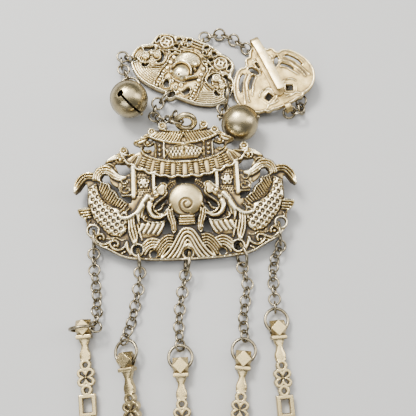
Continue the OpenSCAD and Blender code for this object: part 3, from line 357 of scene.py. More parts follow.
class Field:
    """Values over a grid of points in a drawing's plane."""

    def __init__(self, low, high, step=PAINT_STEP, value=OUTSIDE):
        self.low = np.array(low, float)
        self.step = step
        self.xs = np.arange(low[0], high[0] + step, step)
        self.ys = np.arange(low[1], high[1] + step, step)
        self.v = np.full((len(self.ys), len(self.xs)), value, float)

    def like(self, values):
        """Other values over the same grid."""
        out = Field.__new__(Field)
        out.low, out.step, out.xs, out.ys = self.low, self.step, self.xs, self.ys
        out.v = values
        return out

    def window(self, points, reach):
        p = np.asarray(points, float)
        lo = np.maximum(((p.min(0) - reach - self.low) / self.step).astype(int), 0)
        hi = np.maximum(((p.max(0) + reach - self.low) / self.step).astype(int) + 2, 0)
        return slice(lo[1], hi[1]), slice(lo[0], hi[0])

    def grid(self, where=ALL):
        return self.xs[where[1]][None, :], self.ys[where[0]][:, None]

    def far(self, points, where=ALL):
        return line_distance(*self.grid(where), points)[0]

    def signed(self, outline, where=ALL):
        return outline_distance(*self.grid(where), outline)

    def fill(self, outline):
        self.v = np.maximum(self.v, self.signed(outline))

    def fill_round(self, line, radius):
        self.v = np.maximum(self.v, radius - self.far(line))

    def cut(self, outline):
        self.v = np.minimum(self.v, -self.signed(outline))

    def cut_round(self, line, radius):
        self.v = np.minimum(self.v, self.far(line) - radius)

    def at(self, x, y):
        """Values between the grid's points."""
        u = np.clip((x - self.low[0]) / self.step, 0, len(self.xs) - 1.001)
        v = np.clip((y - self.low[1]) / self.step, 0, len(self.ys) - 1.001)
        i, j = u.astype(int), v.astype(int)
        fu, fv = u - i, v - j
        g = self.v
        return ((g[j, i] * (1 - fu) + g[j, i + 1] * fu) * (1 - fv)
                + (g[j + 1, i] * (1 - fu) + g[j + 1, i + 1] * fu) * fv)

    def blurred(self, radius):
        """A copy smoothed over a radius."""
        reach = int(math.ceil(2.5 * radius / self.step))
        k = np.exp(-0.5 * (np.arange(-reach, reach + 1) * self.step / radius) ** 2)
        k /= k.sum()
        g = np.pad(self.v, reach, mode="edge")
        g = sum(w * g[:, s:s + len(self.xs)] for s, w in enumerate(k))
        return self.like(sum(w * g[s:s + len(self.ys), :] for s, w in enumerate(k)))


class Relief(Field):
    """Heights above a plaque's ground, drawn on both sides of an axis where there is one."""

    axis = None

    def lines(self, points, reach, curve=True):
        """A line and its mirror image, each with the part of the grid near it."""
        for line in [points] if self.axis is None else [points, mirrored(points, self.axis)]:
            line = smooth_line(line) if curve else np.asarray(line, float)
            yield line, self.window(line, reach)

    def ridge(self, points, width, height, tip=1.0, curve=True, added=False):
        """A round-topped ridge along a line, narrowing to a share of its width at its end. It
        rises to a height, or by it where it is added."""
        for line, where in self.lines(points, width, curve):
            d, share = line_distance(*self.grid(where), line)
            top = np.sqrt(hump(d, width / 2 * (1.0 - (1.0 - tip) * share))) ** 0.8
            low = self.v[where]
            rise = np.full_like(low, height) if added else np.maximum(height - low, 0.0)
            self.v[where] = low + rise * top

    def groove(self, points, width, depth):
        for line, where in self.lines(points, width):
            self.v[where] -= depth * hump(self.far(line, where), width / 2)

    def pad(self, points, height, edge=0.4, crown=0.0):
        """A raised field with a soft edge, crowned towards its middle."""
        for line, where in self.lines(points, edge, False):
            d = self.signed(line, where)
            t = fade(d, edge)
            low = self.v[where]
            top = np.maximum(height + crown * fade(d, 3.0) ** 0.7, low)
            self.v[where] = np.where(d > 0, low + (top - low) * t * t * (3 - 2 * t), low)

    def bundle(self, one, other, count, height, fill=0.86, tip=1.0, low=0.1):
        """Ridges side by side between two edge lines, with grooves down to a low height."""
        a = resampled(smooth_line(one), 24)
        b = resampled(smooth_line(other), 24)
        pitch = np.hypot(*(b - a).T).mean() / (count - 1)
        self.pad(np.vstack([a, b[::-1]]), low, 0.3)
        for t in np.arange(count) / (count - 1):
            self.ridge(a + (b - a) * t, pitch * fill, height, tip, False)

    def bead(self, at, radius, height, pit=0.0):
        """A round bead, with a pit in its top if a depth is given."""
        for centre, where in self.lines([at], radius):
            d = self.far(centre, where)
            low = self.v[where]
            top = np.sqrt(hump(d, radius))
            self.v[where] = low + np.maximum(height - low, 0.0) * top - pit * hump(2.2 * d, radius)

    def dimple(self, at, radius, depth):
        for centre, where in self.lines([at], radius):
            self.v[where] -= depth * hump(self.far(centre, where), radius) ** 0.5

    def hoop(self, at, radius, width, height):
        """A ridge round a place."""
        self.ridge(spiral(at, (radius, radius), 1.0, 0.0, count=21), width, height, curve=False)

    def clear(self, at, radius, height, soft=0.35):
        """A flat place round a hole."""
        for centre, where in self.lines([at], radius + soft):
            t = fade(radius + soft - self.far(centre, where), soft)
            self.v[where] += (height - self.v[where]) * t


# Carp plaque: the left half's drawing, as in the part's source

CARP_AXIS = 0.1
CARP_AT = (-8.25, 64.72, 3.0)
CARP_TURN = math.radians(2.7)
CARP_LEAN = math.radians(6.5)
CARP_FOOT = -22.6
CARP_T = 1.9
CARP_SKIRT = 1.3
CARP_WALL = 0.9
NEAR, NEARER, SHORTER, SHORTER_STILL = 0.9935, 0.0005, 0.979, 0.0005

CARP_SIDE = [
    (0.1, -22.6), (-8.3, -22.4), (-13.3, -22.1), (-19.8, -21.5), (-22.3, -21), (-25, -20),
    (-27.3, -18.7), (-30, -17.2), (-32.3, -16.2), (-34.2, -14.8), (-36.2, -12.4), (-37.4, -10.2),
    (-37.4, -8), (-37.3, -7), (-37.8, -5.8), (-38.3, -5.2), (-39.7, -4.2), (-40.5, -2.8),
    (-40.8, -1.8), (-40.2, -1), (-37.1, -0.6), (-37.1, 7), (-37.3, 8.6), (-38.2, 9),
    (-39, 7.8), (-40.2, 6), (-41.8, 4.8), (-42.4, 5.2), (-42, 8.7), (-41.2, 10.7),
    (-39.3, 12.7), (-37.3, 13.3), (-34.9, 13.2), (-34, 14.8), (-32.3, 15.7), (-30.7, 16.3),
    (-30, 17.8), (-27.3, 19.5), (-24.9, 20.9), (-21.4, 20.6), (-19.3, 19.9), (-17.7, 20.3),
    (-16.6, 20.9), (-16.4, 22.5), (-17.5, 23.2), (-19, 23.8), (-19.7, 24.5), (-19, 25.3),
    (-17.2, 26.2), (-15.7, 27), (-14.5, 28.2), (-12.6, 29.2), (-10.7, 29.5), (-9, 29.6),
    (-7.3, 29.3), (-4.2, 28.7), (0.1, 28.5)]
CARP_CURLS = [((-23.1, 21.3), 1.75), ((-12.2, 28.7), 1.65), ((-7.9, 30.9), 1.75)]
CARP_GAPS = [
    [(-26.7, 15.8), (-26.2, 16.2), (-24.3, 15.8), (-22.5, 15.8), (-21.8, 14.8), (-20.5, 14),
     (-20.4, 12.3), (-21.5, 11.7), (-22.8, 11.2), (-24.2, 11.5), (-25.2, 12.3), (-25.8, 13.7)],
    [(-30.7, 12), (-31.7, 10.5), (-31.3, 9.2), (-29.8, 8.7), (-29, 8.7), (-28.2, 7.5),
     (-28, 6.2), (-26.3, 5.3), (-25.5, 4), (-25.2, 2.8), (-23.8, 2.2), (-23.2, 1.5),
     (-21.8, 0.3), (-20.5, 0.2), (-20.3, 2.5), (-22.5, 2.8), (-24, 2.8), (-24.5, 4),
     (-25, 5.7), (-25.2, 6.5), (-26.5, 7), (-27.7, 8), (-28.5, 9.2), (-28.7, 10.5),
     (-29.2, 11.7)],
    [(-7.7, -6.7), (-6.2, -8.3), (-5.8, -10), (-5.8, -11.8), (-8.3, -12.5), (-9.3, -12.3),
     (-9.2, -11.3), (-8.5, -9.7), (-8.2, -8)],
    [(-4.9, -3.8), (-4.5, -5.5), (-3.3, -6.3), (-2.8, -9), (-3.3, -9), (-3.8, -7), (-5, -5.3)],
    [(-11, 10.2), (-10, 10), (-7, 10), (-6.7, 9.3), (-5.8, 8.7), (-6, 8), (-7, 7.2),
     (-7.7, 7.7), (-9.3, 7.7), (-10.8, 6.2), (-11.2, 8.3)],
    [(-6.8, 1.7), (-8.3, 0.8), (-10, -0.3), (-11.3, -1.5), (-12, -2.7), (-11.2, -3.2),
     (-10, -2.3), (-9.3, -1.5), (-8.7, -0.8), (-7.5, -0.7)],
    [(-8.3, -1.7), (-8.7, -3.2), (-9.2, -4.7), (-8.3, -4), (-7.3, -2.7), (-6.2, -1.5),
     (-7, -0.9)],
    [(-13.3, 26.3), (-13.8, 25.3), (-12, 25.3), (-11.3, 24), (-11, 24.8), (-12.2, 25.7)],
    [(-15.2, 23), (-13.7, 22.7), (-12.2, 23.2), (-11.5, 23.7), (-11.3, 21.7), (-12, 20.3),
     (-12.8, 21.5), (-14.2, 21.5), (-15, 21), (-15.5, 21.7)],
    [(-38.3, 8.6), (-37.3, 8.9), (-37.2, 7.4), (-37.7, 7)]]
CENTRE_GAP = [(-3.6, 8.7), (-3.3, 9.3), (-2.3, 9.8), (-1.3, 9.2), (0.8, 9), (2, 9.8),
              (3.4, 9.2), (3.7, 8.5), (3.4, 6.9), (0, 7.1), (-3.2, 6.9)]
FISH_INNER = [(-33.5, 9), (-33, 7), (-32.7, 5), (-31.8, 3), (-30.8, 1.5), (-29.3, 0.2),
              (-27.5, -1), (-25.5, -1.5), (-24.3, -2.5), (-22, -3)]
FISH_OUTER = [(-24.8, -13), (-26.5, -12.4), (-28, -12.3), (-29.7, -11.2), (-31.2, -9.7),
              (-32.3, -8.2), (-33.7, -6.7), (-35, -5), (-35.6, -3), (-36.3, -1), (-36.9, 0.5),
              (-36.9, 7)]
RING_HOLES = [((-34.9, -9.8), 1.75), ((-18.5, -17.9), 1.75), ((0.1, -19.9), 1.5)]
SPARE_HOLE = ((-12.6, -19.8), 1.35)
BOSS_R = 2.65
RING_ROOM = 3.4
PEARL_AT, PEARL_R = (CARP_AXIS, 0.7), 6.45
BLOSSOM_AT = (-15.8, 8.1)
# Grid steps of the face and of the turned-down wall, and the height the wall starts from
CARP_STEP, WALL_STEP, WALL_TOP = 0.21, 0.3, 0.9


def carp_areas(low, high):
    """Signed distances of the plaque's plan, and of its outline alone."""
    edge = Field(low, high)
    edge.fill(np.vstack([CARP_SIDE, mirrored(CARP_SIDE, CARP_AXIS)[::-1][1:-1]]))
    for centre, radius in CARP_CURLS + [(RING_HOLES[0][0], BOSS_R)]:
        edge.fill_round([centre], radius)
    plan = edge.like(edge.v)
    for gap in CARP_GAPS + [CENTRE_GAP]:
        plan.cut(gap)
    for centre, radius in RING_HOLES + [SPARE_HOLE]:
        plan.cut_round([centre], radius)
    return plan, edge


def paint_roofs(r):
    # Lower roof: slab, tile columns, scalloped eave and curved rail
    eave = [(-22.6, 17.2), (-21.5, 15.9), (-19.3, 15.3), (-18.7, 14.1), (-17.5, 13.3),
            (-15.5, 13.1), (-14.3, 12.1), (-13.2, 11.5), (-11.7, 11.8), (-10.7, 11.1),
            (-9.3, 10.4), (-7.3, 10.5), (-5.8, 9.8), (-4.5, 9.8), (-2.5, 10.4), (-1.2, 9.9),
            (0.7, 9.9), (2, 10.4)]
    rail = [(-16.2, 22.5), (-16.3, 21.2), (-15.5, 19.8), (-14.2, 18.8), (-12, 17.8),
            (-9.2, 16.9), (-6, 16.2), (-2, 15.8), (0.8, 15.8)]
    r.pad(eave[:-1] + rail[:0:-1] + [(-19.5, 19.6)], 0.05, 0.3)
    for low, high in (((-16.9, 13.4), (-15.0, 18.4)), ((-14.4, 12.6), (-13.0, 17.5)),
                      ((-10.8, 11.5), (-10.1, 16.6)), ((-6.6, 10.8), (-6.2, 15.7)),
                      ((-2.2, 10.7), (-2.0, 15.2))):
        column(r, low, high, 1.7)
    for low, high in (((-12.6, 12.4), (-11.6, 16.6)), ((-8.8, 11.2), (-8.2, 15.8)),
                      ((-4.5, 10.7), (-4.2, 15.2)), ((0.1, 10.7), (0.1, 15.0)),
                      ((-18.8, 15.2), (-17.0, 18.6))):
        r.ridge([low, high], 1.7, 0.34)
    r.ridge([(-18.6, 15.6), (-17.2, 18.9)], 0.5, 0.9)
    r.ridge([(-20.2, 16.3), (-18.4, 18.9)], 0.5, 0.9)
    r.ridge(eave, 1.0, 1.15)
    r.ridge(rail, 0.85, 1.2)
    # Hooked end of the lower eave, its curl, and the ball in its bowl
    r.bundle([(-23.4, 20.4), (-25.4, 20), (-27.4, 19.1), (-29.4, 17.6)],
             [(-22.6, 17.9), (-25.4, 18.3), (-27.3, 17.6), (-29.6, 17)], 4, 0.95)
    r.ridge([(-19.3, 20), (-21.4, 19.4), (-23, 19.4), (-24.4, 20.2)], 0.8, 1.1)
    curl(r, (-23.1, 21.3), 1.35)
    r.ridge([(-24, 19.3), (-23, 18.3), (-22.3, 16.8), (-21.5, 15.7)], 0.7, 1.1)
    r.bead((-24.5, 17.6), 0.75, 1.3)
    r.ridge([(-26, 17.8), (-25.9, 16.9), (-24.9, 16.3), (-23.6, 16.5), (-22.9, 17.2)], 0.6, 1.0)
    # Upper roof: fine tiles in chevrons, eave, ridge and curls
    top = [(-9.6, 28.7), (-7.3, 28.6), (-4.2, 27.9), (0.1, 27.7)]
    low = [(-13.3, 26.8), (-12.2, 26.2), (-10, 25.2), (-7.5, 24.5), (-4.2, 23.8), (0.1, 23.6)]
    r.pad(top + low[::-1], -0.05, 0.3)
    for k in range(12):
        x = 0.1 - 1.02 * k
        foot = float(np.interp(x - 1.7, [p[0] for p in low], [p[1] for p in low])) + 0.5
        if foot < 27.0:
            r.ridge([(x, 27.7 + 0.06 * k), (x - 1.9 - 0.05 * k, foot)], 0.66, 1.0)
    r.ridge(low, 0.85, 1.15)
    r.ridge([(-9.6, 30.2), (-7.3, 29.3), (-4.2, 28.6), (0.1, 28.4)], 0.75, 1.1)
    r.ridge([(-13.3, 27), (-15.3, 26.2), (-17.4, 25.4), (-19, 24.7)], 0.7, 1.0)
    r.ridge([(-12.9, 27.7), (-14.4, 27.5), (-16.2, 26.4)], 0.6, 0.95)
    r.pad([(-13.4, 26.4), (-15.8, 25.6), (-18.8, 24.4), (-17.3, 23.6), (-15.3, 24.0),
           (-13.9, 25.4)], 0.6, 0.5)
    curl(r, (-12.1, 28.6), 1.3)
    curl(r, (-7.9, 30.9), 1.38)
    r.bead((-13.8, 24.2), 0.75, 1.25)
    r.ridge([(-15.2, 24), (-14.9, 23.2), (-13.7, 22.9), (-12.3, 23.4), (-11.8, 24.4)], 0.6, 1.0)
    r.ridge([(-15.4, 21.4), (-14.6, 20.6), (-13.4, 20.4), (-12.6, 20.9)], 0.55, 0.85)


def curl(r, at, radius):
    """A curl that ends in a bead."""
    r.bead(at, radius + 0.2, 0.5)
    r.hoop(at, radius, 0.8, 1.15)
    r.bead(at, 0.5, 1.05)


def column(r, low, high, width):
    """A tile column with cross ribs."""
    r.ridge([low, high], width, 0.25)
    a, b = np.array(low), np.array(high)
    along = b - a
    length = np.hypot(*along)
    side = np.array([-along[1], along[0]]) / length * width * 0.46
    for k in range(5):
        mid = a + along * (k + 0.7) / 5.2
        r.ridge([mid - side, mid + side], 0.55, 1.1)


def paint_gate(r):
    # Storey between the roofs, with a plain lattice on its board
    r.ridge([(-10.9, 18.3), (-10.9, 23.6)], 0.7, 0.95)
    r.ridge([(-7.6, 17.6), (-7.6, 23.9)], 0.7, 1.0)
    for y in (19.2, 21, 22.8):
        r.bead((-9.3, y), 0.62, 1.0)
    board = [(0.1, 17.5), (-5, 17.6), (-6.8, 20.6), (-4.3, 22), (-2, 22.8), (0.1, 23)]
    r.pad(board, 0.25, 0.3)
    r.ridge(board, 0.55, 1.05, curve=False)
    for k in range(5):
        x = -0.9 - 1.35 * k
        for lean in (-1.0, 1.0):
            r.ridge([(x - 0.9 * lean, 18.2), (x + 0.9 * lean, 21.6)], 0.4, 0.8)
    # Columns of the gate, and the ground between them
    r.ridge([(-19.7, 2.6), (-19.7, 14.4)], 1.9, 1.0)
    r.ridge([(-11.9, 4.6), (-11.9, 11)], 1.6, 0.95)
    r.ridge([(-18.6, 3.6), (-18.6, 13.2)], 0.35, 0.35)
    # Five-petalled blossom on a stippled ground
    for j, y in enumerate(np.arange(3.2, 13.2, 0.85)):
        for x in np.arange(-18.2 + 0.47 * (j % 2), -12.9, 0.94):
            if math.dist((x, y), BLOSSOM_AT) > 2.9:
                r.dimple((x, y), 0.4, 0.45)
    for petal in round_places(BLOSSOM_AT, 1.4, 5, 90):
        r.bead(petal, 1.1, 1.05)
    r.bead(BLOSSOM_AT, 1.2, 0.9)
    for petal in round_places(BLOSSOM_AT, 1.5, 5, 90):
        r.dimple(petal, 0.52, 0.8)
    # Cloud curls beside the gate
    r.pad([(-25, 3.3), (-20.5, 3.3), (-20.5, 9.9), (-23, 10), (-25.2, 8.2)], 0.1, 0.3)
    r.ridge([(-24.2, 9.6), (-24, 8.6), (-23.1, 7.9), (-22, 8.2), (-21.9, 9)], 0.6, 0.95)
    r.ridge([(-22.6, 6.9), (-23.9, 6.4), (-24.1, 5.1), (-23.1, 4.4), (-21.6, 4.4), (-21, 5.4),
             (-21.7, 6.2), (-22.5, 5.8)], 0.6, 0.95)
    r.ridge([(-25.2, 3.2), (-20.4, 3.2)], 0.7, 0.9)
    r.ridge([(-25.2, 3.2), (-24.7, 5), (-25.3, 6.6)], 0.5, 0.7)
    # Brackets over the heads: a line with short ribs under it
    r.ridge([(-6.5, 6.8), (-5.1, 7.8), (-3.4, 8.4)], 0.5, 0.7)
    for k in range(5):
        x, y = -6.1 + 0.65 * k, 5.0 + 0.56 * k
        r.ridge([(x, y), (x - 0.45, y + 0.7)], 0.32, 0.45)


def paint_fish(r):
    # Dorsal fin: a ribbed field between the body and a bead along its edge
    crest = [(-32.6, 9.5), (-31.7, 8.8), (-30.1, 8.2), (-29.3, 8.1), (-28.7, 7.2), (-28.4, 5.9),
             (-26.8, 4.8), (-26.0, 3.6), (-25.6, 2.4), (-24.1, 1.7), (-23.5, 1.0), (-22.1, -0.2)]
    r.pad(crest + FISH_INNER[::-1], -0.1, 0.3)
    for start, end in zip(resampled(crest[1:], 13), resampled(FISH_INNER[2:-1], 13)):
        r.ridge([start, start + 0.8 * (end - start)], 0.62, 0.8, tip=0.8)
    r.ridge(crest, 0.7, 1.05)
    # Body: a crowned field of round scales
    body = FISH_INNER + [(-21.6, -5.2), (-22.4, -11)] + FISH_OUTER
    r.pad(body, 0.75, 0.5, 0.65)
    i, j = np.mgrid[-14:16, -14:16].reshape(2, -1, 1)
    scales = np.array([-32.25, -0.8]) + i * [1.3, -1.47] + j * [1.9, 1.0]
    for at in scales[outline_distance(*scales.T, body) >= 0.42]:
        r.dimple(at, 0.86, 0.8)
        r.ridge([at + [0.1, -0.12]], 0.75, 0.4, added=True)
    # Tail flukes
    r.bundle([(-34.8, 10), (-34.4, 12.2), (-33.3, 14.2), (-31, 15.3), (-28.9, 15.1),
              (-27.3, 13.6), (-25.9, 12.1), (-24.3, 11), (-22.4, 10.6)],
             [(-32.4, 9.6), (-32.2, 11), (-31.4, 12), (-30.4, 12.4), (-29, 11.9), (-27.6, 10.7),
              (-26.2, 9.8), (-24.8, 9.3), (-22.6, 10.1)], 4, 1.05, 0.82, low=0.0)
    r.ridge([(-30, 16), (-28.4, 16.2), (-27, 15.2)], 0.6, 0.6)
    r.bundle([(-35, 12.7), (-37.3, 12.8), (-39.2, 12.2), (-40.9, 10.4), (-41.7, 8.5),
              (-42, 5.4)],
             [(-35.3, 10.6), (-37.3, 10.6), (-38.6, 9.7), (-39.7, 8.2), (-40.6, 6.7),
              (-41.7, 5.1)], 3, 1.0, 0.72, low=0.0)
    # Side fin
    for k in range(4):
        y = -1.5 - 1.05 * k
        r.ridge([(-36.3 + 0.2 * k, y + 0.1), (-40.2 + 0.7 * k, y - 0.25)], 0.78, 0.8)
    r.ridge([(-36.8, -0.9), (-39.9, -1.3), (-40.4, -2.2), (-39.7, -3.8), (-38.4, -4.8),
             (-37.4, -5.7)], 0.6, 1.0)
    # Pectoral fin, three long folds
    r.bundle([(-21.6, -5.6), (-21.5, -10), (-21, -12.5), (-20, -15), (-19.4, -16)],
             [(-19.7, -5.6), (-19.6, -8), (-19, -10.8), (-18.5, -13), (-18.9, -15.2)], 3, 1.1, 0.9,
             0.85, 0.3)
    # Barbels, thick at the root
    r.ridge([(-16.4, -1.7), (-17.5, -3.4), (-18, -5.2), (-17.9, -6.6), (-17.5, -8.2)], 2.4, 1.35,
            tip=0.3)
    r.ridge([(-14.3, 2.4), (-15.1, 1.2), (-16, 0.2), (-17.2, -1.9), (-18.3, -3.5), (-20.1, -4.8),
             (-22.3, -5.7), (-24.6, -5.2)], 3.1, 1.6, tip=0.42)
    r.bead((-24.6, -5.2), 0.75, 1.5)
    r.ridge([(-25, -3.3), (-24.2, -2.5), (-23.2, -2.3)], 0.6, 1.2)
    r.ridge([(-22.6, -3.4), (-22, -2.5), (-21.1, -1.9)], 0.6, 1.1)


def paint_head(r):
    # Forehead, snout and cheek
    r.pad([(-8.6, 5.6), (-9, 3.4), (-10.2, 1.9), (-12.3, 0.7), (-13.8, -0.8), (-14.3, -2.4),
           (-15.9, -2.9), (-16.4, -0.6), (-15.2, 1.6), (-13.6, 3.6), (-12, 5.7), (-10.4, 6.6)],
          0.4, 0.5, 0.3)
    r.pad([(-11.4, 4.9), (-10.3, 6.0), (-9.2, 7.2), (-7.9, 7.3), (-7.2, 6.4), (-7.6, 5.1),
           (-7.4, 3.6), (-8.4, 2.4), (-9.8, 2.6), (-10.4, 4)], 0.75, 0.5, 0.2)
    r.ridge([(-14.1, 0.9), (-15.6, -1.4), (-16.4, -3.8), (-16.8, -5.6)], 0.9, 0.85)
    # Mouth, one line from the snout round to the strap
    r.ridge([(-11.7, 5.1), (-10.4, 6.2), (-9.2, 7.3), (-7.9, 7.5), (-7, 6.5), (-7.4, 5.1),
             (-7.1, 3.7), (-7.8, 2.3), (-9.9, 0.7), (-11.4, -0.6), (-12.1, -2), (-11.7, -3.4),
             (-9.9, -4.8), (-8.3, -4.4), (-7.1, -2.9), (-5.9, -1.6)], 0.8, 1.2)
    r.ridge([(-11.3, -3.2), (-10, -3.1), (-9.1, -2.3), (-8.7, -1.1), (-7.8, -0.6)], 0.85, 1.15,
            tip=0.7)
    r.bead((-11.4, 3.8), 1.0, 1.5)
    r.ridge([(-10.3, 4.9), (-9.9, 3.8), (-10.5, 2.8), (-11.4, 2.4)], 0.5, 1.1)
    r.bead((-12.6, 1.2), 0.95, 1.5)
    # Lip, gill and belly
    r.ridge([(-13.4, -0.5), (-13.8, -2.6), (-13.1, -4.4), (-11.9, -5.5), (-10.2, -5.9),
             (-8.6, -5.5), (-7.2, -4.8)], 2.3, 1.3, tip=0.4)
    r.groove([(-15, -3.2), (-14.3, -4.6), (-13.9, -5.6), (-12.4, -6.7), (-10.4, -7), (-8.8, -6.8)],
             0.6, 0.5)
    r.ridge([(-15.7, -5.2), (-16.1, -6.3), (-14.7, -7.2), (-12.9, -7.7), (-10.8, -8),
             (-8.2, -7.5)], 0.7, 1.1)
    r.ridge(spiral((-15.1, -5.6), (0.75, 0.3), 0.8, 90), 0.45, 1.05, curve=False)
    r.pad([(-17.8, -7.4), (-13.4, -8.2), (-8.6, -8), (-9.4, -10.3), (-10.2, -12.3),
           (-10.8, -13.6), (-13.6, -13.7), (-17, -13.6), (-18, -11)], 0.0, 0.6, 0.4)
    for k in range(5):
        x = -8.5 - 1.95 * k
        r.ridge([(x, -8.3 - 0.05 * k), (x - 0.6, -9.9), (x - 2.2 + 0.15 * k, -12.3 + 0.25 * k)],
                1.85, 0.85, tip=0.6)
    # Plain fold between the pectoral fin and the belly
    r.ridge([(-18.3, -8.4), (-17.6, -11.4), (-16.8, -14.2)], 0.8, 0.7)


def paint_foot(r):
    # Pearl stand
    for k in range(4):
        half = 2.4 + 0.2 * k
        r.ridge([(-half, -5.9 - 0.95 * k), (half + 0.2, -5.9 - 0.95 * k)], 0.85, 0.9)
    # Straps beside the pearl
    r.bundle([(-7, -3.4), (-6.8, -6), (-6, -8.5), (-5.6, -11)],
             [(-5.4, -2.9), (-4.9, -5), (-4.3, -8), (-4.1, -10.9)], 3, 1.15, 0.85, 0.9, 0.2)
    r.ridge([(-6.8, -3.2), (-6.6, -1.7), (-5.8, -1.1), (-4.9, -1.8)], 0.7, 1.05)
    r.ridge([(-5.6, -11), (-4.9, -12.1), (-4.1, -10.9)], 0.6, 1.0)
    # Mountain
    r.pad([(0.1, -10.2), (-2, -10.8), (-3.3, -12.3), (-5, -15.8), (-7.5, -19.3), (-9.8, -21.6),
           (0.1, -21.8)], 0.25, 0.4)
    for line in (
            [(0.1, -10.5), (-1.6, -11), (-2.7, -12.2), (-3.7, -13.8), (-4.6, -15.5), (-5.8, -17.5),
             (-7.4, -19.5), (-9.4, -21.4)],
            [(0.1, -11.9), (-1.2, -12.4), (-2.2, -13.8), (-3.3, -15.8), (-4.6, -18.1),
             (-6.2, -20.3), (-7.5, -21.6)],
            [(0.1, -13.4), (-0.9, -14), (-1.8, -15.5), (-3, -18), (-4.4, -20.2), (-5.6, -21.6)],
            [(0.1, -15), (-0.7, -15.8), (-1.5, -17.6), (-2.8, -19.9), (-3.9, -21.6)],
            [(0.1, -16.7), (-0.6, -17.6), (-1.2, -18.9)]):
        r.ridge(line, 1.15, 1.15)
    # Waves beside it
    r.bundle([(-5.2, -13.3), (-6.9, -12.9), (-8.7, -13.6), (-10.2, -15), (-11.5, -16.9),
              (-12.6, -18.4)],
             [(-6, -17.3), (-7, -17.2), (-7.9, -18), (-8.9, -19.4), (-9.9, -21.2)],
             5, 1.0, 0.75, 0.95, -0.1)
    r.bundle([(-10.5, -14.6), (-12.3, -13.9), (-14, -14.1), (-15.6, -15.1), (-16.7, -16.4)],
             [(-11.9, -17.3), (-12.8, -17.2), (-13.8, -17.5), (-14.9, -18.5), (-15.7, -19.7)],
             4, 1.0, 0.75, 0.95, -0.1)
    # Scrolls of the lower edge
    r.ridge([(-30.9, -13.3), (-30.8, -12.4), (-31.4, -11.5), (-32.4, -11.2), (-33.4, -11.8),
             (-33.9, -12.6), (-33.5, -13.7), (-32.7, -14.5), (-31.6, -15.1), (-30.5, -15.2),
             (-29.3, -14.8), (-28.1, -14.3), (-26.9, -13.9), (-26, -14.3), (-25.5, -15.2),
             (-25.8, -16.1)], 0.9, 1.15)
    r.bead((-32.2, -12.9), 0.65, 0.7)
    r.ridge([(-28.6, -14.6), (-28.3, -15.9), (-27.5, -16.8), (-26.5, -17.4), (-25.3, -17.6),
             (-24.1, -17.2), (-23.2, -16.6), (-22.6, -15.6), (-22.4, -14.8)], 0.9, 1.1)
    r.bead((-26.9, -15.9), 0.6, 0.7)
    r.ridge([(-22.5, -15.2), (-22.2, -17), (-21.1, -19.3)], 1.6, 0.85, tip=0.6)
    r.ridge([(-24.2, -18.8), (-23, -18.4)], 0.7, 0.7)
    r.ridge([(-30.3, -16.4), (-29.2, -16)], 0.7, 0.7)
    r.ridge([(-30, -12.9), (-28.2, -13.3), (-26.4, -12.9), (-24.4, -13.9), (-22.9, -13.6)],
            0.45, 0.2)
    # Small fold above the outer ring hole
    r.ridge([(-36, -5.9), (-36.4, -7), (-35.6, -7.6), (-34.2, -7.6)], 0.5, 0.7)


def carp_relief():
    low, high = (-43.2, -23.6), (0.7, 33.4)
    plan, edge = carp_areas(low, high)
    r = Relief(low, high, value=GROUND)
    for paint in (paint_gate, paint_roofs, paint_foot, paint_fish, paint_head):
        paint(r)
    # Raised line along the lower edge
    line = hump(edge.v - 0.5, 0.4) ** 0.5 * fade(-12.0 - r.grid()[1], 2.0)
    r.v = np.where(line > 0, np.maximum(r.v, GROUND + (0.75 - GROUND) * line), r.v)
    # Flat places round the holes, with a raised lip round each
    for centre, radius in RING_HOLES:
        r.clear(centre, radius + 0.6, 0.25)
        r.hoop(centre, radius + 0.45, 0.8, 0.6)
    r.clear(SPARE_HOLE[0], SPARE_HOLE[1] + 0.2, 0.2)
    # Pearl, a dome over the other forms
    d = r.far([PEARL_AT])
    r.v = np.where(d < PEARL_R, np.maximum(r.v, 0.35 + 1.9 * hump(d, PEARL_R) ** 0.55), r.v)
    return plan, edge, r


def carp_place(x, y, z):
    """World place in millimetres of a drawn point at a height above the plaque's back."""
    up = y - CARP_FOOT
    face = up * (SHORTER - SHORTER_STILL * up)
    px = x * (NEAR - NEARER * face)
    py = CARP_FOOT + face * math.cos(CARP_LEAN) - z * math.sin(CARP_LEAN)
    pz = face * math.sin(CARP_LEAN) + z * math.cos(CARP_LEAN)
    cos, sin = math.cos(CARP_TURN), math.sin(CARP_TURN)
    return (CARP_AT[0] + px * cos - py * sin - MIDDLE[0],
            CARP_AT[1] + px * sin + py * cos - MIDDLE[1],
            CARP_AT[2] + pz)


# Meshes from a plan and a height

# Radius of the last smoothing of a relief
SOFTEN = 0.1
# Radius and weight of each smoothed copy that a height is compared with for its shade
DIP_LAYERS = ((1.1, 0.45), (0.32, 1.25))


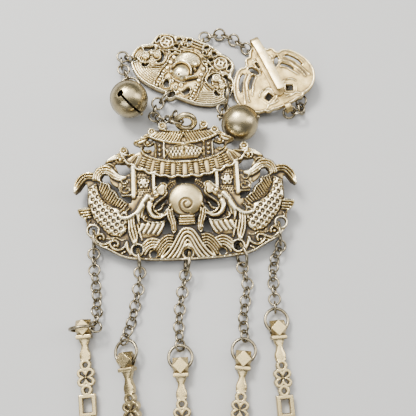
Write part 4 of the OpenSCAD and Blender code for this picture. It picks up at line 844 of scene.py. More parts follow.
class Shell:
    """Points, faces and shades gathered for one mesh, in a drawing's own frame."""

    def __init__(self, place):
        self.place = place
        self.points, self.faces, self.shades, self.count = [], [], [], 0

    def add(self, x, y, z, shade):
        """Adds points, and gives the number of the first."""
        x, y, z = (values.ravel() for values in np.broadcast_arrays(x, y, z))
        self.points.append(np.column_stack(self.place(x, y, z)))
        self.shades.append(np.broadcast_to(shade, x.shape))
        self.count += x.size
        return self.count - x.size

    def band(self, a, b):
        """Adds faces between rows of points, round their columns."""
        corners = (a, b, np.roll(b, -1, 1), np.roll(a, -1, 1))
        self.faces.append(np.column_stack([corner.ravel() for corner in corners]))

    def build(self, name, mat, crease=55.0):
        mesh = bpy.data.meshes.new(name)
        points = np.vstack(self.points) * MM
        loops = np.concatenate([np.asarray(f).ravel() for f in self.faces])
        sizes = np.concatenate([np.full(len(f), len(f[0])) for f in self.faces if len(f)])
        mesh.vertices.add(len(points))
        mesh.vertices.foreach_set("co", points.astype(np.float32).ravel())
        mesh.loops.add(len(loops))
        mesh.loops.foreach_set("vertex_index", loops.astype(np.int32))
        mesh.polygons.add(len(sizes))
        starts = np.concatenate([[0], np.cumsum(sizes)[:-1]])
        mesh.polygons.foreach_set("loop_start", starts.astype(np.int32))
        mesh.polygons.foreach_set("use_smooth", np.ones(len(sizes), bool))
        mesh.update(calc_edges=True)
        mesh.validate()
        shade = mesh.attributes.new("hollow", "FLOAT", "POINT")
        shade.data.foreach_set("value", np.concatenate(self.shades).astype(np.float32))
        mesh.set_sharp_from_angle(angle=math.radians(crease))
        mesh.materials.append(mat)
        return placed(name, mesh)


def beside(cells, di, dj):
    """For each cell, the value of a neighbour."""
    pad = np.pad(cells, 1)
    return pad[1 + di:pad.shape[0] - 1 + di, 1 + dj:pad.shape[1] - 1 + dj]


def plate(shell, area, low, high, step, top, back, shade_at, side_shade=0.5):
    """Adds a closed plate: the plan where area(x, y) is positive, its top at the height top(x, y),
    its flat back at a height, and walls between them. Edge points are moved onto the outline."""
    gx, gy = np.meshgrid(np.arange(low[0], high[0], step), np.arange(low[1], high[1], step))
    sd = area(gx, gy)
    keep = (sd[:-1, :-1] + sd[1:, :-1] + sd[:-1, 1:] + sd[1:, 1:]) > 0
    # Cells that touch only at a corner are let go
    for _ in range(2):
        old = keep.copy()
        for dj in (1, -1):
            keep &= ~(old & beside(old, 1, dj) & ~beside(old, 1, 0) & ~beside(old, 0, dj))
    cells = np.pad(keep, 1).astype(int)
    around = cells[:-1, :-1] + cells[:-1, 1:] + cells[1:, :-1] + cells[1:, 1:]
    used, rim = around > 0, (around > 0) & (around < 4)
    h = step * 0.5
    for _ in range(3):
        bx, by = gx[rim], gy[rim]
        sx = (area(bx + h, by) - area(bx - h, by)) / (2 * h)
        sy = (area(bx, by + h) - area(bx, by - h)) / (2 * h)
        move = area(bx, by) / np.maximum(sx * sx + sy * sy, 0.25)
        move = np.clip(move, -0.7 * step, 0.7 * step)
        gx[rim] = bx - sx * move
        gy[rim] = by - sy * move
    index = np.full(sd.shape, -1)
    index[used] = np.arange(used.sum())
    px, py = gx[used], gy[used]
    pz = np.broadcast_to(top(px, py), px.shape)
    base = shell.add(px, py, pz, shade_at(px, py))
    corners = [index[:-1, :-1][keep], index[:-1, 1:][keep], index[1:, 1:][keep],
               index[1:, :-1][keep]]
    shell.faces.append(np.column_stack(corners) + base)
    # Directed border edges, with the plate on their left
    edges = []
    for k, (di, dj) in enumerate(((-1, 0), (0, 1), (1, 0), (0, -1))):
        border = ~beside(keep, di, dj)[keep]
        edges.append(np.column_stack([corners[k][border], corners[(k + 1) % 4][border]]))
    edges = np.vstack(edges)
    ring, local = np.unique(edges, return_inverse=True)
    one, two = local.reshape(edges.shape).T
    rx, ry, rz = px[ring], py[ring], pz[ring]
    rows = [ring + base]
    # Walls take painted shade, darker towards the back
    for share in (0.5, 1.0):
        start = shell.add(rx, ry, rz + (back - rz) * share, side_shade + 0.2 * share)
        rows.append(np.arange(len(ring)) + start)
    for upper, lower in zip(rows[:-1], rows[1:]):
        shell.faces.append(np.column_stack([upper[one], lower[one], lower[two], upper[two]]))
    # Back, filled between the rim's loops
    rim_points = np.column_stack([rx, ry])
    flat, _, fill, came_from, _, _ = delaunay_2d_cdt(
        [Vector(point) for point in rim_points.tolist()], np.column_stack([one, two]).tolist(),
        [], 0, 1e-7)
    number = np.array([rows[-1][sources[0]] if sources
                       else shell.add(*point, back, side_shade + 0.2)
                       for point, sources in zip(flat, came_from)])
    flat = np.array(flat)
    fill = np.array([face for face in fill if len(face) == 3])
    fill = fill[enclosed(*flat[fill].mean(axis=1).T, rim_points[one], rim_points[two])]
    a, b = flat[fill[:, 1]] - flat[fill[:, 0]], flat[fill[:, 2]] - flat[fill[:, 0]]
    turned_up = a[:, 0] * b[:, 1] - a[:, 1] * b[:, 0] > 0
    fill[turned_up] = fill[turned_up][:, ::-1]
    shell.faces.append(number[fill])


def turned(shell, profile, order, shade):
    """Adds a closed profile of (radius, height) turned about an axis. order puts the two
    directions across the axis and the one along it into the drawing's x, y and z."""
    radius, height = np.array(profile).T
    a = np.linspace(0, 2 * math.pi, 40, endpoint=False)[:, None]
    start = shell.add(*order(radius * np.cos(a), radius * np.sin(a), height + 0 * a), shade)
    i = np.arange(a.size * radius.size).reshape(a.size, radius.size) + start
    shell.band(i, np.roll(i, -1, axis=0))


def rounded_section(width, height, soft):
    """Points of a rectangle with round corners, counterclockwise."""
    corners = [(-1, -1, (0, 45, 90)), (1, -1, (90, 45, 0)), (1, 1, (0, 45, 90)),
               (-1, 1, (90, 45, 0))]
    return [(sx * (width / 2 - soft + soft * math.cos(math.radians(angle))),
             sy * (height / 2 - soft + soft * math.sin(math.radians(angle))))
            for sx, sy, angles in corners for angle in angles]


def loft(shell, rings, shades):
    """Adds a solid through rings of points. The rings turn counterclockwise seen from the end."""
    pts = np.array(rings)
    count, size = pts.shape[:2]
    shade = np.repeat(np.broadcast_to(shades, count), size)
    i = np.arange(count * size).reshape(count, size) + shell.add(*np.moveaxis(pts, 2, 0), shade)
    shell.band(i[1:], i[:-1])
    shell.faces += [i[:1, ::-1], i[-1:]]


def hollow_shade(relief, plan, gain, start):
    """How closed in each place is: about 0 on a crest, about 1 at the bottom of a groove."""
    # Crests are lightened as wear and painted highlight, grooves darkened as tarnish and painted
    # shade; heights outside the plan are lowered, so the plate's edges come out lighter too
    seen = relief.like(np.where(plan.v > 0, relief.v, relief.v - np.clip(-plan.v, 0, 0.6)))
    dip = sum(weight * (seen.blurred(radius).v - seen.v) for radius, weight in DIP_LAYERS)
    return relief.like(np.clip(start + gain * dip, 0.0, 1.0)).blurred(SOFTEN)


def rounded(plan_at, height_at, radius=0.35, drop=0.3):
    """A height that falls away next to the outline."""
    def top(x, y):
        d = fade(plan_at(x, y), radius)
        return height_at(x, y) - drop * (1.0 - np.sqrt(1.0 - (1.0 - d) ** 2))
    return top


def both_halves(field):
    """A reader of the large plaque's left half that serves for both halves."""
    return lambda x, y: field.at(CARP_AXIS - np.abs(x - CARP_AXIS), y)


def make_carp(mat):
    plan, edge, relief = carp_relief()
    plan_at, edge_at = both_halves(plan), both_halves(edge)
    relief_at = both_halves(relief.blurred(SOFTEN))
    shade_at = both_halves(hollow_shade(relief, plan, 1.75, 0.4))
    # Groove of the pearl's spiral, which has no mirror image
    swirl = Field((-5.4, -6.8), (6.2, 5.0), 0.1)
    swirl.v = hump(swirl.far(spiral((0.4, -1.5), (1.05, 3.5), 1.5, 100, count=90)), 0.45)

    def height(x, y):
        return CARP_T + relief_at(x, y) - 0.5 * swirl.at(x, y)

    def shading(x, y):
        # Painted shade in the spiral's groove; on the pearl a painted highlight in its middle and
        # painted shade towards its edge; lighter over the roofs, darker over the mountain
        far = np.hypot(x - PEARL_AT[0], y - PEARL_AT[1])
        pearl = fade(PEARL_R - far, 0.3) * (0.008 * far * far - 0.1)
        roofs = fade(y - 11, 4)
        mountain = fade(-8 - y, 4) * fade(15 - np.abs(x - CARP_AXIS), 4)
        shade = shade_at(x, y) + 0.4 * swirl.at(x, y) + pearl - 0.12 * roofs + 0.09 * mountain
        return np.clip(shade, 0, 1)

    def wall(x, y):
        d = np.minimum(edge_at(x, y) - 0.02, CARP_WALL - edge_at(x, y))
        for centre, _ in RING_HOLES:
            far = np.hypot(CARP_AXIS - np.abs(x - CARP_AXIS) - centre[0], y - centre[1])
            d = np.minimum(d, far - RING_ROOM)
        return np.minimum(d, plan_at(x, y) + 0.3)

    low, high = (-43, -23.4), (43.3, 33.2)
    shell = Shell(carp_place)
    plate(shell, plan_at, low, high, CARP_STEP, rounded(plan_at, height), 0.0, shading)
    # Turned-down wall under the rim, in painted shade
    plate(shell, wall, low, high, WALL_STEP, lambda x, y: WALL_TOP, -CARP_SKIRT,
          lambda x, y: 0.6, 0.55)
    plaque = shell.build("carp_plaque_relief", mat)
    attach(plaque, "root")
    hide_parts("carp_plaque")


# Cloud plaque, in its own frame, as in the part's source

CLOUD_AT = (-9.0, 120.5, 1.3)
CLOUD_TURN = math.radians(-24.0)
CLOUD_T = 1.7
CLOUD_EDGE = [
    (-21.8, -5.6), (-22.6, -3.6), (-22.7, -1.4), (-22.1, 1), (-20.6, 3), (-18.6, 4.1),
    (-17.8, 4.8), (-17.4, 7), (-16.9, 9.1), (-16, 10.3), (-14.4, 11.2), (-12.8, 12), (-11, 12.3),
    (-9.6, 12.1), (-8.4, 12.7), (-7, 13.2), (-5.2, 13.5), (-3.4, 14), (-1.6, 14.1), (2.7, 14),
    (4.6, 13.9), (6.4, 13.5), (8.4, 13.1), (10, 12.3), (12.2, 12.3), (14.3, 11.8), (16.3, 10.8),
    (17.5, 9.6), (18, 7.8), (18, 5.4), (18.5, 4.3), (20, 3), (21, 1.3), (21.5, -1), (21.4, -3.4),
    (20.6, -6), (18.8, -8.6), (16.4, -10.4), (13, -11.8), (10, -12.6), (7, -12.9), (4.4, -13),
    (2, -13.1), (1, -13.3), (-2.6, -13.1), (-4.2, -13), (-7, -13), (-10.4, -12.8), (-13.6, -12.2),
    (-16.6, -11), (-19.4, -9), (-21, -7.2)]
CLOUD_GAPS = [
    [(3.1, 12.5), (3.9, 13), (4.7, 12.5), (4.5, 11.7), (3.9, 11.2), (3.1, 11.4)],
    [(6.7, 11.4), (7.7, 11.8), (8.7, 11.2), (8.6, 10.2), (7.6, 9.9), (7.1, 10.4)],
    [(15.3, 7.3), (15.5, 8.6), (16.1, 8.7), (16.4, 7.4), (16.2, 6.3), (15.6, 6.4)],
    [(5.2, 5.6), (7.2, 5.3), (8.3, 4.1), (9.2, 4.4), (8.8, 5.1), (7.4, 5.8), (5.4, 6)],
    [(13.1, 3.4), (12, 3.3), (10.6, 2.2), (9.9, 0.4), (10.1, -1.2), (11, -2), (12.5, -1.8),
     (11.7, -1.1), (11.2, 0), (11.3, 1.4), (12, 2.6)],
    [(15.2, 2.6), (15.5, 3.8), (16.2, 4), (17.2, 3.1), (19, 2.3), (19.6, 1.4), (18.4, 0.5),
     (17.5, 0.8), (17, 2)],
    [(14.6, -3.9), (14.8, -5.2), (15.9, -6), (17.1, -5.6), (17.2, -4.6), (16, -4.6), (15.2, -3.8)],
    [(4.9, -7), (5.5, -8), (5.4, -9.4), (4.4, -10.7), (2.9, -10), (3.4, -8.8), (4, -7.7)]]
EYE_HOLE = ((7.7, 7.7), 0.9)
LOOP = ((-0.8, -12.6), 1.7, 2.5)
# Ring of wire at the top: place, radius of its middle line and of its wire
TOP_LOOP = ((0.8, 14.2), 1.45, 0.45)
WING_HOLE = ((-20.8, -4.6), 0.95)
WING_SLOT = ([(19.2, -1.5), (20.05, -4.2)], 1.25)
BODY = ((-0.7, 3.2), (5.3, 4.2))
BELLY = ((-0.7, -2.1), 3.5)
COIN_AT = (12, 7.8)
CLOUD_STEP = 0.155


def cloud_areas(low, high):
    """Signed distances of the plaque's plan, and of its outline alone."""
    edge = Field(low, high)
    edge.fill(CLOUD_EDGE)
    edge.fill_round([LOOP[0]], LOOP[2])
    plan = edge.like(edge.v)
    for gap in CLOUD_GAPS:
        plan.cut(gap)
        plan.cut(mirrored(gap, 0.0))
    (eye_x, eye_y), eye_r = EYE_HOLE
    for centre, radius in (LOOP[:2], WING_HOLE, EYE_HOLE, ((-eye_x, eye_y), eye_r)):
        plan.cut_round([centre], radius)
    plan.cut_round(*WING_SLOT)
    return plan, edge


def paint_wings(r, edge):
    x, y = r.grid()
    # Fine lines that follow the rim of each lower lobe
    lobe = fade(np.abs(x) - 9.2, 0.8) * fade(1.5 - y, 2.0)
    lobe *= fade(6.8 - edge, 1.0) * fade(21 - np.abs(x) - 2 * y, 2.0)
    r.v += lobe * (0.2 + 0.26 * np.cos(2 * math.pi * edge / 0.84))
    # Curled lines nearer to the body
    ring = np.hypot(np.abs(x) - 13.4, y - 0.6)
    fan = fade(np.abs(x) - 9.0, 0.6) * fade(edge - 6.0, 1.0) * fade(0.5 - y, 1.0)
    r.v += fan * 0.22 * np.cos(2 * math.pi * ring / 0.85)
    # Coin rosettes with square middles, under an arched border
    r.clear(COIN_AT, 2.9, 0.1, 0.3)
    r.hoop(COIN_AT, 2.45, 0.75, 0.95)
    r.pad([(10.7, 6.5), (13.3, 6.5), (13.3, 9.1), (10.7, 9.1)], 0.8, 0.3)
    r.dimple(COIN_AT, 0.5, 0.8)
    for corner in round_places(COIN_AT, 1.75, 4, 45):
        r.bead(corner, 0.4, 0.75)
    r.ridge([(17.3, 4.9), (16.9, 8.2), (15.3, 10.2), (12, 11.3), (9.7, 10.9), (8.9, 9.6)], 0.7, 1.0)
    r.ridge([(18.6, 3.2), (17.2, 4.2), (15.4, 4.6), (13.2, 4.4)], 0.7, 0.9)
    r.ridge([(9.4, 5.2), (10.4, 4.4), (11.8, 4.4)], 0.6, 0.8)
    # Wavy border with its rows of dots
    r.ridge([(6.6, 5.6), (8.4, 4.8), (9.3, 2.8), (9.1, 0.4), (9.5, -1.4), (10.8, -2.6), (12.2, -3)],
            0.75, 1.05)
    r.ridge([(5.6, 4.8), (7.6, 3.9), (8.3, 2.3), (8, 0.2), (8.3, -2.2), (9, -4.4), (8.9, -7),
             (9.3, -9.4), (8.4, -12)], 0.6, 0.95)
    for at, size in (((6.5, 2.8), 0.95), ((6.8, 0.2), 0.95), ((6.9, -2.6), 0.9)):
        r.bead(at, size, 0.85, 0.35)
    for k in range(7):
        r.bead((9.9 + 0.62 * k, -3.3 - 0.28 * k), 0.36, 0.7)
    for k in range(6):
        r.bead((7.6 - 0.02 * k, -4.6 - 1.32 * k), 0.62, 0.85, 0.3)
    r.ridge([(6.3, -4.6), (6.9, -6.2), (6.4, -8.4), (6.6, -10.6), (5.4, -12.2)], 0.55, 0.85)


def paint_curls(r):
    # Discs and beads of the openings, a little different on each side
    r.axis = None
    for at, size, top in (((-13.3, 1.2), 1.75, 0.9), ((-17.1, -1.4), 1.65, 0.9),
                          ((13.1, 1.1), 1.95, 0.8), ((16.6, -1.2), 1.4, 0.85)):
        r.bead(at, size, top)
        r.hoop(at, size * 0.78, 0.5, top + 0.35)
    r.ridge(spiral((13.1, 1.1), (1.3, 0.3), 1.3, 30), 0.4, 1.2, curve=False)
    r.bead((-13.3, 1.2), 0.6, 1.25)
    r.bead((-17.1, -1.4), 0.6, 1.2)
    r.bead((16.6, -1.2), 0.5, 1.2)
    for at, size in (((-15.6, 0.8), 0.95), ((15.2, 0.6), 1.05), ((14.2, 3.9), 0.85),
                     ((-15, 3.6), 0.8), ((-19.3, 1.8), 1.3), ((18.3, -2.6), 0.9)):
        r.bead(at, size, 1.1)
    r.ridge([(-19.8, -3.4), (-17.8, -4.4), (-16.2, -4.4)], 0.8, 1.05)
    r.ridge([(12.2, -3), (13.4, -3.3), (14.2, -2.4), (15.4, -2.4)], 0.65, 0.95)
    # Crest: bars, scrolls and small arches
    for y in (13.1, 11.9, 10.6):
        r.ridge([(-2.4, y), (2.4, y)], 0.62, 0.95)
    r.axis = 0.0
    r.ridge([(2.8, 13.3), (2.5, 12), (2.7, 10.5), (3.4, 9.2)], 0.6, 1.0)
    r.ridge(spiral((4.5, 9.6), (1.45, 0.35), 1.2, 60, -1.0), 0.6, 1.05, curve=False)
    r.ridge([(2.6, 13.1), (3.5, 13.5), (4.7, 13.2), (5.2, 12.3), (4.9, 11.3)], 0.55, 0.95)
    r.ridge([(6, 12.8), (7.4, 12.6), (9.1, 12), (9.4, 10.8), (9, 9.6)], 0.55, 0.95)
    r.ridge([(6.1, 12.2), (6.2, 10.6), (6.6, 9.4)], 0.5, 0.9)
    r.hoop(EYE_HOLE[0], 1.25, 0.55, 0.9)
    r.bead((6.2, 9.2), 0.5, 0.9)
    r.ridge([(1, 9.3), (2.6, 8.6), (4.2, 7.6), (5.6, 7.2)], 0.6, 0.8)
    r.ridge([(0, 8.3), (2.2, 8), (4.2, 6.8)], 0.5, 0.7)


def paint_body(r):
    x, y = r.grid()
    tilt = math.radians(24.0)
    (at_x, at_y), (long, wide) = BODY
    u = (x - at_x) * math.cos(tilt) + (y - at_y) * math.sin(tilt)
    v = (y - at_y) * math.cos(tilt) - (x - at_x) * math.sin(tilt)
    dome = np.clip(1 - (u / long) ** 2 - (v / wide) ** 2, 0, 1)
    stripes = 0.16 * np.cos(2 * math.pi * (v + 0.3 * u) / 0.8) * np.clip(dome * 3, 0, 1)
    r.v = np.where(dome > 0, np.maximum(r.v, 0.1 + 2.2 * dome ** 0.6 + stripes), r.v)
    r.axis = None
    r.bead((2.9, 2.6), 1.1, 2.1)
    r.hoop((2.9, 2.6), 0.8, 0.4, 2.4)
    r.bead((3.6, 0.9), 0.75, 1.8)
    d = r.far([BELLY[0]])
    belly = 0.4 + 1.7 * hump(d, BELLY[1]) ** 0.6
    r.v = np.where(d < BELLY[1] * 1.12, belly, r.v)
    r.ridge([(-4.9, -1.6), (-4, 0.4), (-2, 1.7), (0.4, 1.5), (2.3, 0.2), (3.2, -1.8)], 0.85, 2.3)
    r.bead((-1, -4.2), 1.15, 2.2, 1.2)
    r.ridge([(2.3, -4.1), (5.4, -1.7)], 1.1, 2.0)
    for at in ((-2.8, -7.4), (1.3, -7.4), (-0.4, -9.3)):
        r.bead(at, 1.0, 1.0, 0.9)
    r.bead((-4.8, -3.6), 0.8, 1.1)
    r.ridge([(-3.9, -5.4), (-2.4, -6.2), (0.2, -6.4), (2.6, -5.8)], 0.6, 0.9)
    r.bead((1.4, -10.6), 0.8, 0.8)
    r.axis = 0.0


def cloud_place(x, y, z):
    cos, sin = math.cos(CLOUD_TURN), math.sin(CLOUD_TURN)
    return (CLOUD_AT[0] + x * cos - y * sin - MIDDLE[0],
            CLOUD_AT[1] + x * sin + y * cos - MIDDLE[1], CLOUD_AT[2] + z)


def make_cloud(mat):
    low, high = (-23.6, -16), (22.6, 15)
    plan, edge = cloud_areas(low, high)
    r = Relief(low, high, value=GROUND * 0.5)
    r.axis = 0.0
    paint_wings(r, edge.v)
    paint_curls(r)
    paint_body(r)
    border = hump(edge.v - 0.55, 0.5) ** 0.5
    r.v = np.maximum(r.v, GROUND + (0.85 - GROUND) * border)
    lip = hump(plan.v - 0.35, 0.3) ** 0.5 * (edge.v > 1.0)
    r.v = np.maximum(r.v, GROUND + (0.6 - GROUND) * lip)
    soft = r.blurred(SOFTEN)
    shell = Shell(cloud_place)
    plate(shell, plan.at, (-23.4, -15.8), (22.4, 14.8), CLOUD_STEP,
          rounded(plan.at, lambda x, y: CLOUD_T + soft.at(x, y)), 0.0,
          hollow_shade(r, plan, 1.15, 0.22).at)
    # Loop at the top, a ring of wire that stands across the plaque
    (x, y), middle, wire = TOP_LOOP
    turned(shell, round_places((middle, 0.0), wire, 12, 0),
           lambda u, v, w: (x + w, y + u, CLOUD_T / 2 + v), 0.3)
    plaque = shell.build("cloud_plaque_relief", mat)
    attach(plaque, "root")
    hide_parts("cloud_plaque")


# Garment hook: the plate's back, and the strip folded over it

HOOK_AT = (25.3, 114.8, 4.6)
HOOK_TURN = math.radians(24.5)
HOOK_TILT = math.radians(-5.0)
HOOK_T = 1.3
HOOK_GAP = 3.4
STRIP_T = 0.9
HOOK_SIDE = [
    (0, 15.6), (1.6, 15.4), (2.8, 14.6), (3.6, 13.3), (4, 12.4), (4.8, 12.6), (5.9, 12.2),
    (6.4, 11.2), (6.7, 10), (7.4, 9.3), (8.5, 9.6), (9.6, 9.5), (10.8, 9), (12.2, 7.9),
    (13.6, 6.3), (14.8, 4.5), (15.7, 2.6), (16.4, 0.4), (16.8, -2), (16.6, -4.2), (15.9, -6.4),
    (14.7, -8.3), (13, -9.9), (11, -11), (9.3, -11.4), (8.4, -11.5), (8, -12), (7.2, -12.4),
    (6, -12.4), (5.3, -12.2), (4.2, -12.5), (3, -12.8), (0, -12.8)]
HOOK_SLOTS = [
    [(13.4, 0.3), (12.9, 2.4), (11.8, 4.4), (10.3, 6.3), (9.3, 6.8), (9, 6), (10.3, 4.9),
     (11.5, 3.2), (12.4, 1.4)],
    [(9.6, -0.1), (9, 1.6), (7.9, 3.1), (6.6, 4.2), (5.9, 4.1), (6.1, 3.4), (7.2, 2.5),
     (8.3, 1.2), (9.1, 0.1)],
    [(6.1, 7.7), (5.9, 6.4), (4.9, 4.9), (3.8, 4.1), (3.7, 5.2), (4.4, 6.6), (5.3, 7.6)],
    [(2.9, 8.8), (2.4, 8.7), (2.3, 6.3), (2.7, 6.2)],
    [(3.0, -7.15), (5.2, -8.1), (6.1, -6.1), (3.85, -5.1)]]
BARREL = ((0.2, -13.8, 1.2), 4.4, 2.8, 2.4)
LEG_W, LEG_END, FOLD_Y = 3.9, -8.3, 14.9
TONGUE_W, TONGUE_END, TONGUE_SHIFT = 3.1, -7.4, 0.5
CORNER = 0.45
HOOK_STEP = 0.24
# Painted shadow: the lower leg, under the tongue, is darker than the tongue
LEG_SHADE, TONGUE_SHADE = 0.6, 0.14


def hook_place(x, y, z):
    tx = x * math.cos(HOOK_TILT) + z * math.sin(HOOK_TILT)
    tz = z * math.cos(HOOK_TILT) - x * math.sin(HOOK_TILT)
    cos, sin = math.cos(HOOK_TURN), math.sin(HOOK_TURN)
    return (HOOK_AT[0] + tx * cos - y * sin - MIDDLE[0],
            HOOK_AT[1] + tx * sin + y * cos - MIDDLE[1], HOOK_AT[2] + tz)


def add_strip(shell):
    """Adds the strip over the plate's back: a lower leg, a fold and a tongue."""
    low_z = HOOK_T + STRIP_T / 2
    high_z = low_z + STRIP_T + HOOK_GAP
    turn = (HOOK_GAP + STRIP_T) / 2
    leg_round, corner = LEG_END + LEG_W / 2, TONGUE_END + CORNER
    ends = np.linspace(0, math.pi / 2, 6)
    leg = np.concatenate([leg_round - LEG_W / 2 * np.cos(ends),
                          np.linspace(leg_round + 1, FOLD_Y - 0.6, 16)])
    arc = np.radians(np.linspace(-90, 90, 17))
    tongue = np.concatenate([np.linspace(FOLD_Y - 0.6, corner + 0.5, 16),
                             corner - CORNER * np.sin(ends)])

    def joined(on_leg, on_arc, on_tongue):
        parts = zip((on_leg, on_arc, on_tongue), (leg, arc, tongue))
        return np.concatenate([np.broadcast_to(values, like.shape) for values, like in parts])

    past = np.clip(leg_round - leg, 0, None)
    leg_w = 2 * np.sqrt(np.clip((LEG_W / 2) ** 2 - past ** 2, 0.02, None))
    past = np.clip(corner - tongue, 0, CORNER)
    tongue_w = TONGUE_W - 2 * CORNER + 2 * np.sqrt(CORNER ** 2 - past ** 2)
    widths = joined(leg_w - (LEG_W - TONGUE_W) * fade(leg - 10, 4), TONGUE_W, tongue_w)
    shifts = joined(TONGUE_SHIFT / 2 * fade(leg - 8, 6), TONGUE_SHIFT / 2,
                    TONGUE_SHIFT - TONGUE_SHIFT / 2 * fade(tongue - 10, 4))
    # Painted shadow on the leg, lightening over the fold to the tongue
    shades = joined(LEG_SHADE, np.linspace(LEG_SHADE, TONGUE_SHADE, len(arc)), TONGUE_SHADE)
    ys = joined(leg, FOLD_Y + turn * np.cos(arc), tongue)
    zs = joined(low_z, (low_z + high_z) / 2 + turn * np.sin(arc), high_z)
    run = np.gradient(np.column_stack([ys, zs]), axis=0)
    run /= np.hypot(*run.T)[:, None]
    rings = [[(shift + u, y - rz * v, z + ry * v)
              for u, v in rounded_section(width, STRIP_T, min(0.16, 0.4 * width))]
             for y, z, (ry, rz), width, shift in zip(ys, zs, run, widths, shifts)]
    loft(shell, rings[::-1], shades[::-1])


def add_barrel(shell):
    """Adds the barrel loop, a short tube with a bead at each end."""
    (cx, cy, cz), outer, bore, width = BARREL
    end = [(bore / 2, width / 2), (outer / 2 - 0.2, width / 2), (outer / 2, width / 2 - 0.2),
           (outer / 2, width / 2 - 0.5), (outer / 2 - 0.2, width / 2 - 0.65)]
    profile = [(radius, -along) for radius, along in end] + end[::-1]
    turned(shell, profile, lambda u, v, w: (cx + w, cy + u, cz + v), 0.25)


def make_hook(mat):
    low, high = (-18, -14), (18, 17)
    edge = Field(low, high)
    edge.fill(np.vstack([mirrored(HOOK_SIDE, 0.0)[::-1], HOOK_SIDE]))
    plan = edge.like(edge.v)
    r = Relief(low, high, value=0.0)
    r.axis = 0.0
    # Each half is slightly hollow between its rim and the strip
    r.v = -0.35 * fade(edge.v, 5.0) * fade(np.abs(r.grid()[0]) - 2.5, 3.0)
    # Openings with a raised rim, a double one where they have four corners
    for slot in HOOK_SLOTS:
        cornered = len(slot) == 4
        for side in (np.array(slot), mirrored(slot, 0.0)):
            grow = 0.32 if side[0][0] < 0 and not cornered else 0.16
            near = -plan.signed(side) - grow
            plan.v = np.minimum(plan.v, near)
            r.v += 0.42 * hump(near - 0.42, 0.42)
            if cornered:
                r.v += 0.4 * hump(near - 1.35, 0.4)
    # Folds that run on from the slots
    r.ridge([(8.4, 6.2), (10.6, 3.6), (11.8, 0.8), (13.2, -2.4), (13.9, -5.2)], 0.85, 0.6)
    r.ridge([(7, 5.4), (9.4, 3), (10.6, 0.4), (11.6, -2), (12.2, -5)], 0.8, 0.5)
    r.ridge([(5.2, 3.2), (7.2, 1.6), (8.6, -0.8), (10.2, -3.2)], 0.8, 0.45)
    r.groove([(12.9, -0.2), (13.6, -3), (13.8, -6)], 0.9, 0.35)
    r.groove([(9.3, -0.4), (10.4, -2.6), (11.4, -5.4)], 0.9, 0.35)
    r.groove([(7.6, 4.6), (9.9, 2.0), (10.9, -0.6)], 0.7, 0.25)
    # Oval dents
    for at in ((-8.8, 7.0), (8.3, 7.6), (-5.1, 9.6), (4.4, 10.0)):
        where = r.window([at], 2.0)
        x, y = r.grid(where)
        u, v = (x - at[0]) / 1.5, (y - at[1]) / 0.8
        r.v[where] -= 0.75 * np.clip(1.3 - u ** 2 - v ** 2, 0, 1)
    # Folds above and below each square hole
    r.ridge([(1.9, -4.6), (2.6, -3.4), (4.6, -3), (6.6, -3.5), (7.9, -5)], 0.7, 0.45)
    r.ridge([(2, -9.6), (4, -9.9), (6, -9.7), (7.2, -10.6)], 0.7, 0.35)
    r.v = np.maximum(r.v, 0.45 * hump(edge.v - 0.5, 0.45) ** 0.5)
    soft = r.blurred(0.12)
    shell = Shell(hook_place)
    plate(shell, plan.at, (-17.6, -13.6), (17.6, 16.4), HOOK_STEP,
          rounded(plan.at, lambda x, y: HOOK_T + soft.at(x, y), 0.35, 0.25), 0.0,
          hollow_shade(r, plan, 2.4, 0.4).at)
    add_strip(shell)
    add_barrel(shell)
    hook = shell.build("garment_hook_plate", mat, 40.0)
    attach(hook, "root")
    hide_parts("garment_hook")


# Toilet tools: a many-sided head with a bore, a collar, and a flat pierced shank

TOOLS = [((-44.3, 18.0), -83.9, 0), ((-28.6, 6.8), -81.8, 20), ((-9.6, 5.0), -87.4, 0),
         ((12.4, 7.3), -94.8, 0), ((24.7, 17.8), -85.8, -6)]
TOOL_L = 66.0
SHANK_T = 2.4
HEAD_R = 2.7
HEAD_DIP = 0.08
TIP_HALF = 2.4
BORE_AT, BORE_R = 0.9, 1.4
BALUSTER = [(2.4, 2), (2.6, 2.7), (4, 2.7), (4.05, 1.9), (5, 1.6), (6.4, 1.05), (7.6, 1.3),
            (8.8, 1.8), (9.8, 1.95), (10.8, 1.8), (11.4, 1.7)]
COLLAR = ((2.6, 4.0), 5.4, 4.5)
COLLAR_SOFT = 0.3
SHANK_HOLES, DISC_R, HOLE_R = (13.0, 21.5), 2.0, 0.88
LEAF_AT, LEAF_R, LEAF_SPREAD = 17.2, 1.6, 1.5
# Outlines of the shank and of each tool's end, as upper halves
SHANK_BARS = [[(15, 1.6), (19.4, 1.6)], [(22.9, 2.95), (30.2, 2.95)]]
WINDOW = [(24.2, 1.55), (28.9, 1.55)]
TOOL_ENDS = [
    [[(29.9, 1.3), (58, 1), (66, 0.15)]], [[(29.9, 0.9), (64, 0.9)]],
    [[(29.9, 1.2), (52, 1.2), (53, 2.4), (64, 1.4), (66, 0)]],
    [[(29.9, 1.4), (63, 0.8), (66, 0.2)]],
    [[(29.9, 1), (60, 1)], [(59, 1), (66, 2.2), (66, 0.6), (62, 0)]]]
SPOON_AT, SPOON_R = (63.8, 0), 2.2
# Drops of the leaf: where each starts and ends on its diagonal, its radius and its growth
DROP_ENDS, DROP_R, DROP_GROWTH = (0.35, 1.45), 0.24, 0.32
TOOL_STEP = 0.16
CORNERS = list(itertools.product((-1, 1), (-1, 1)))


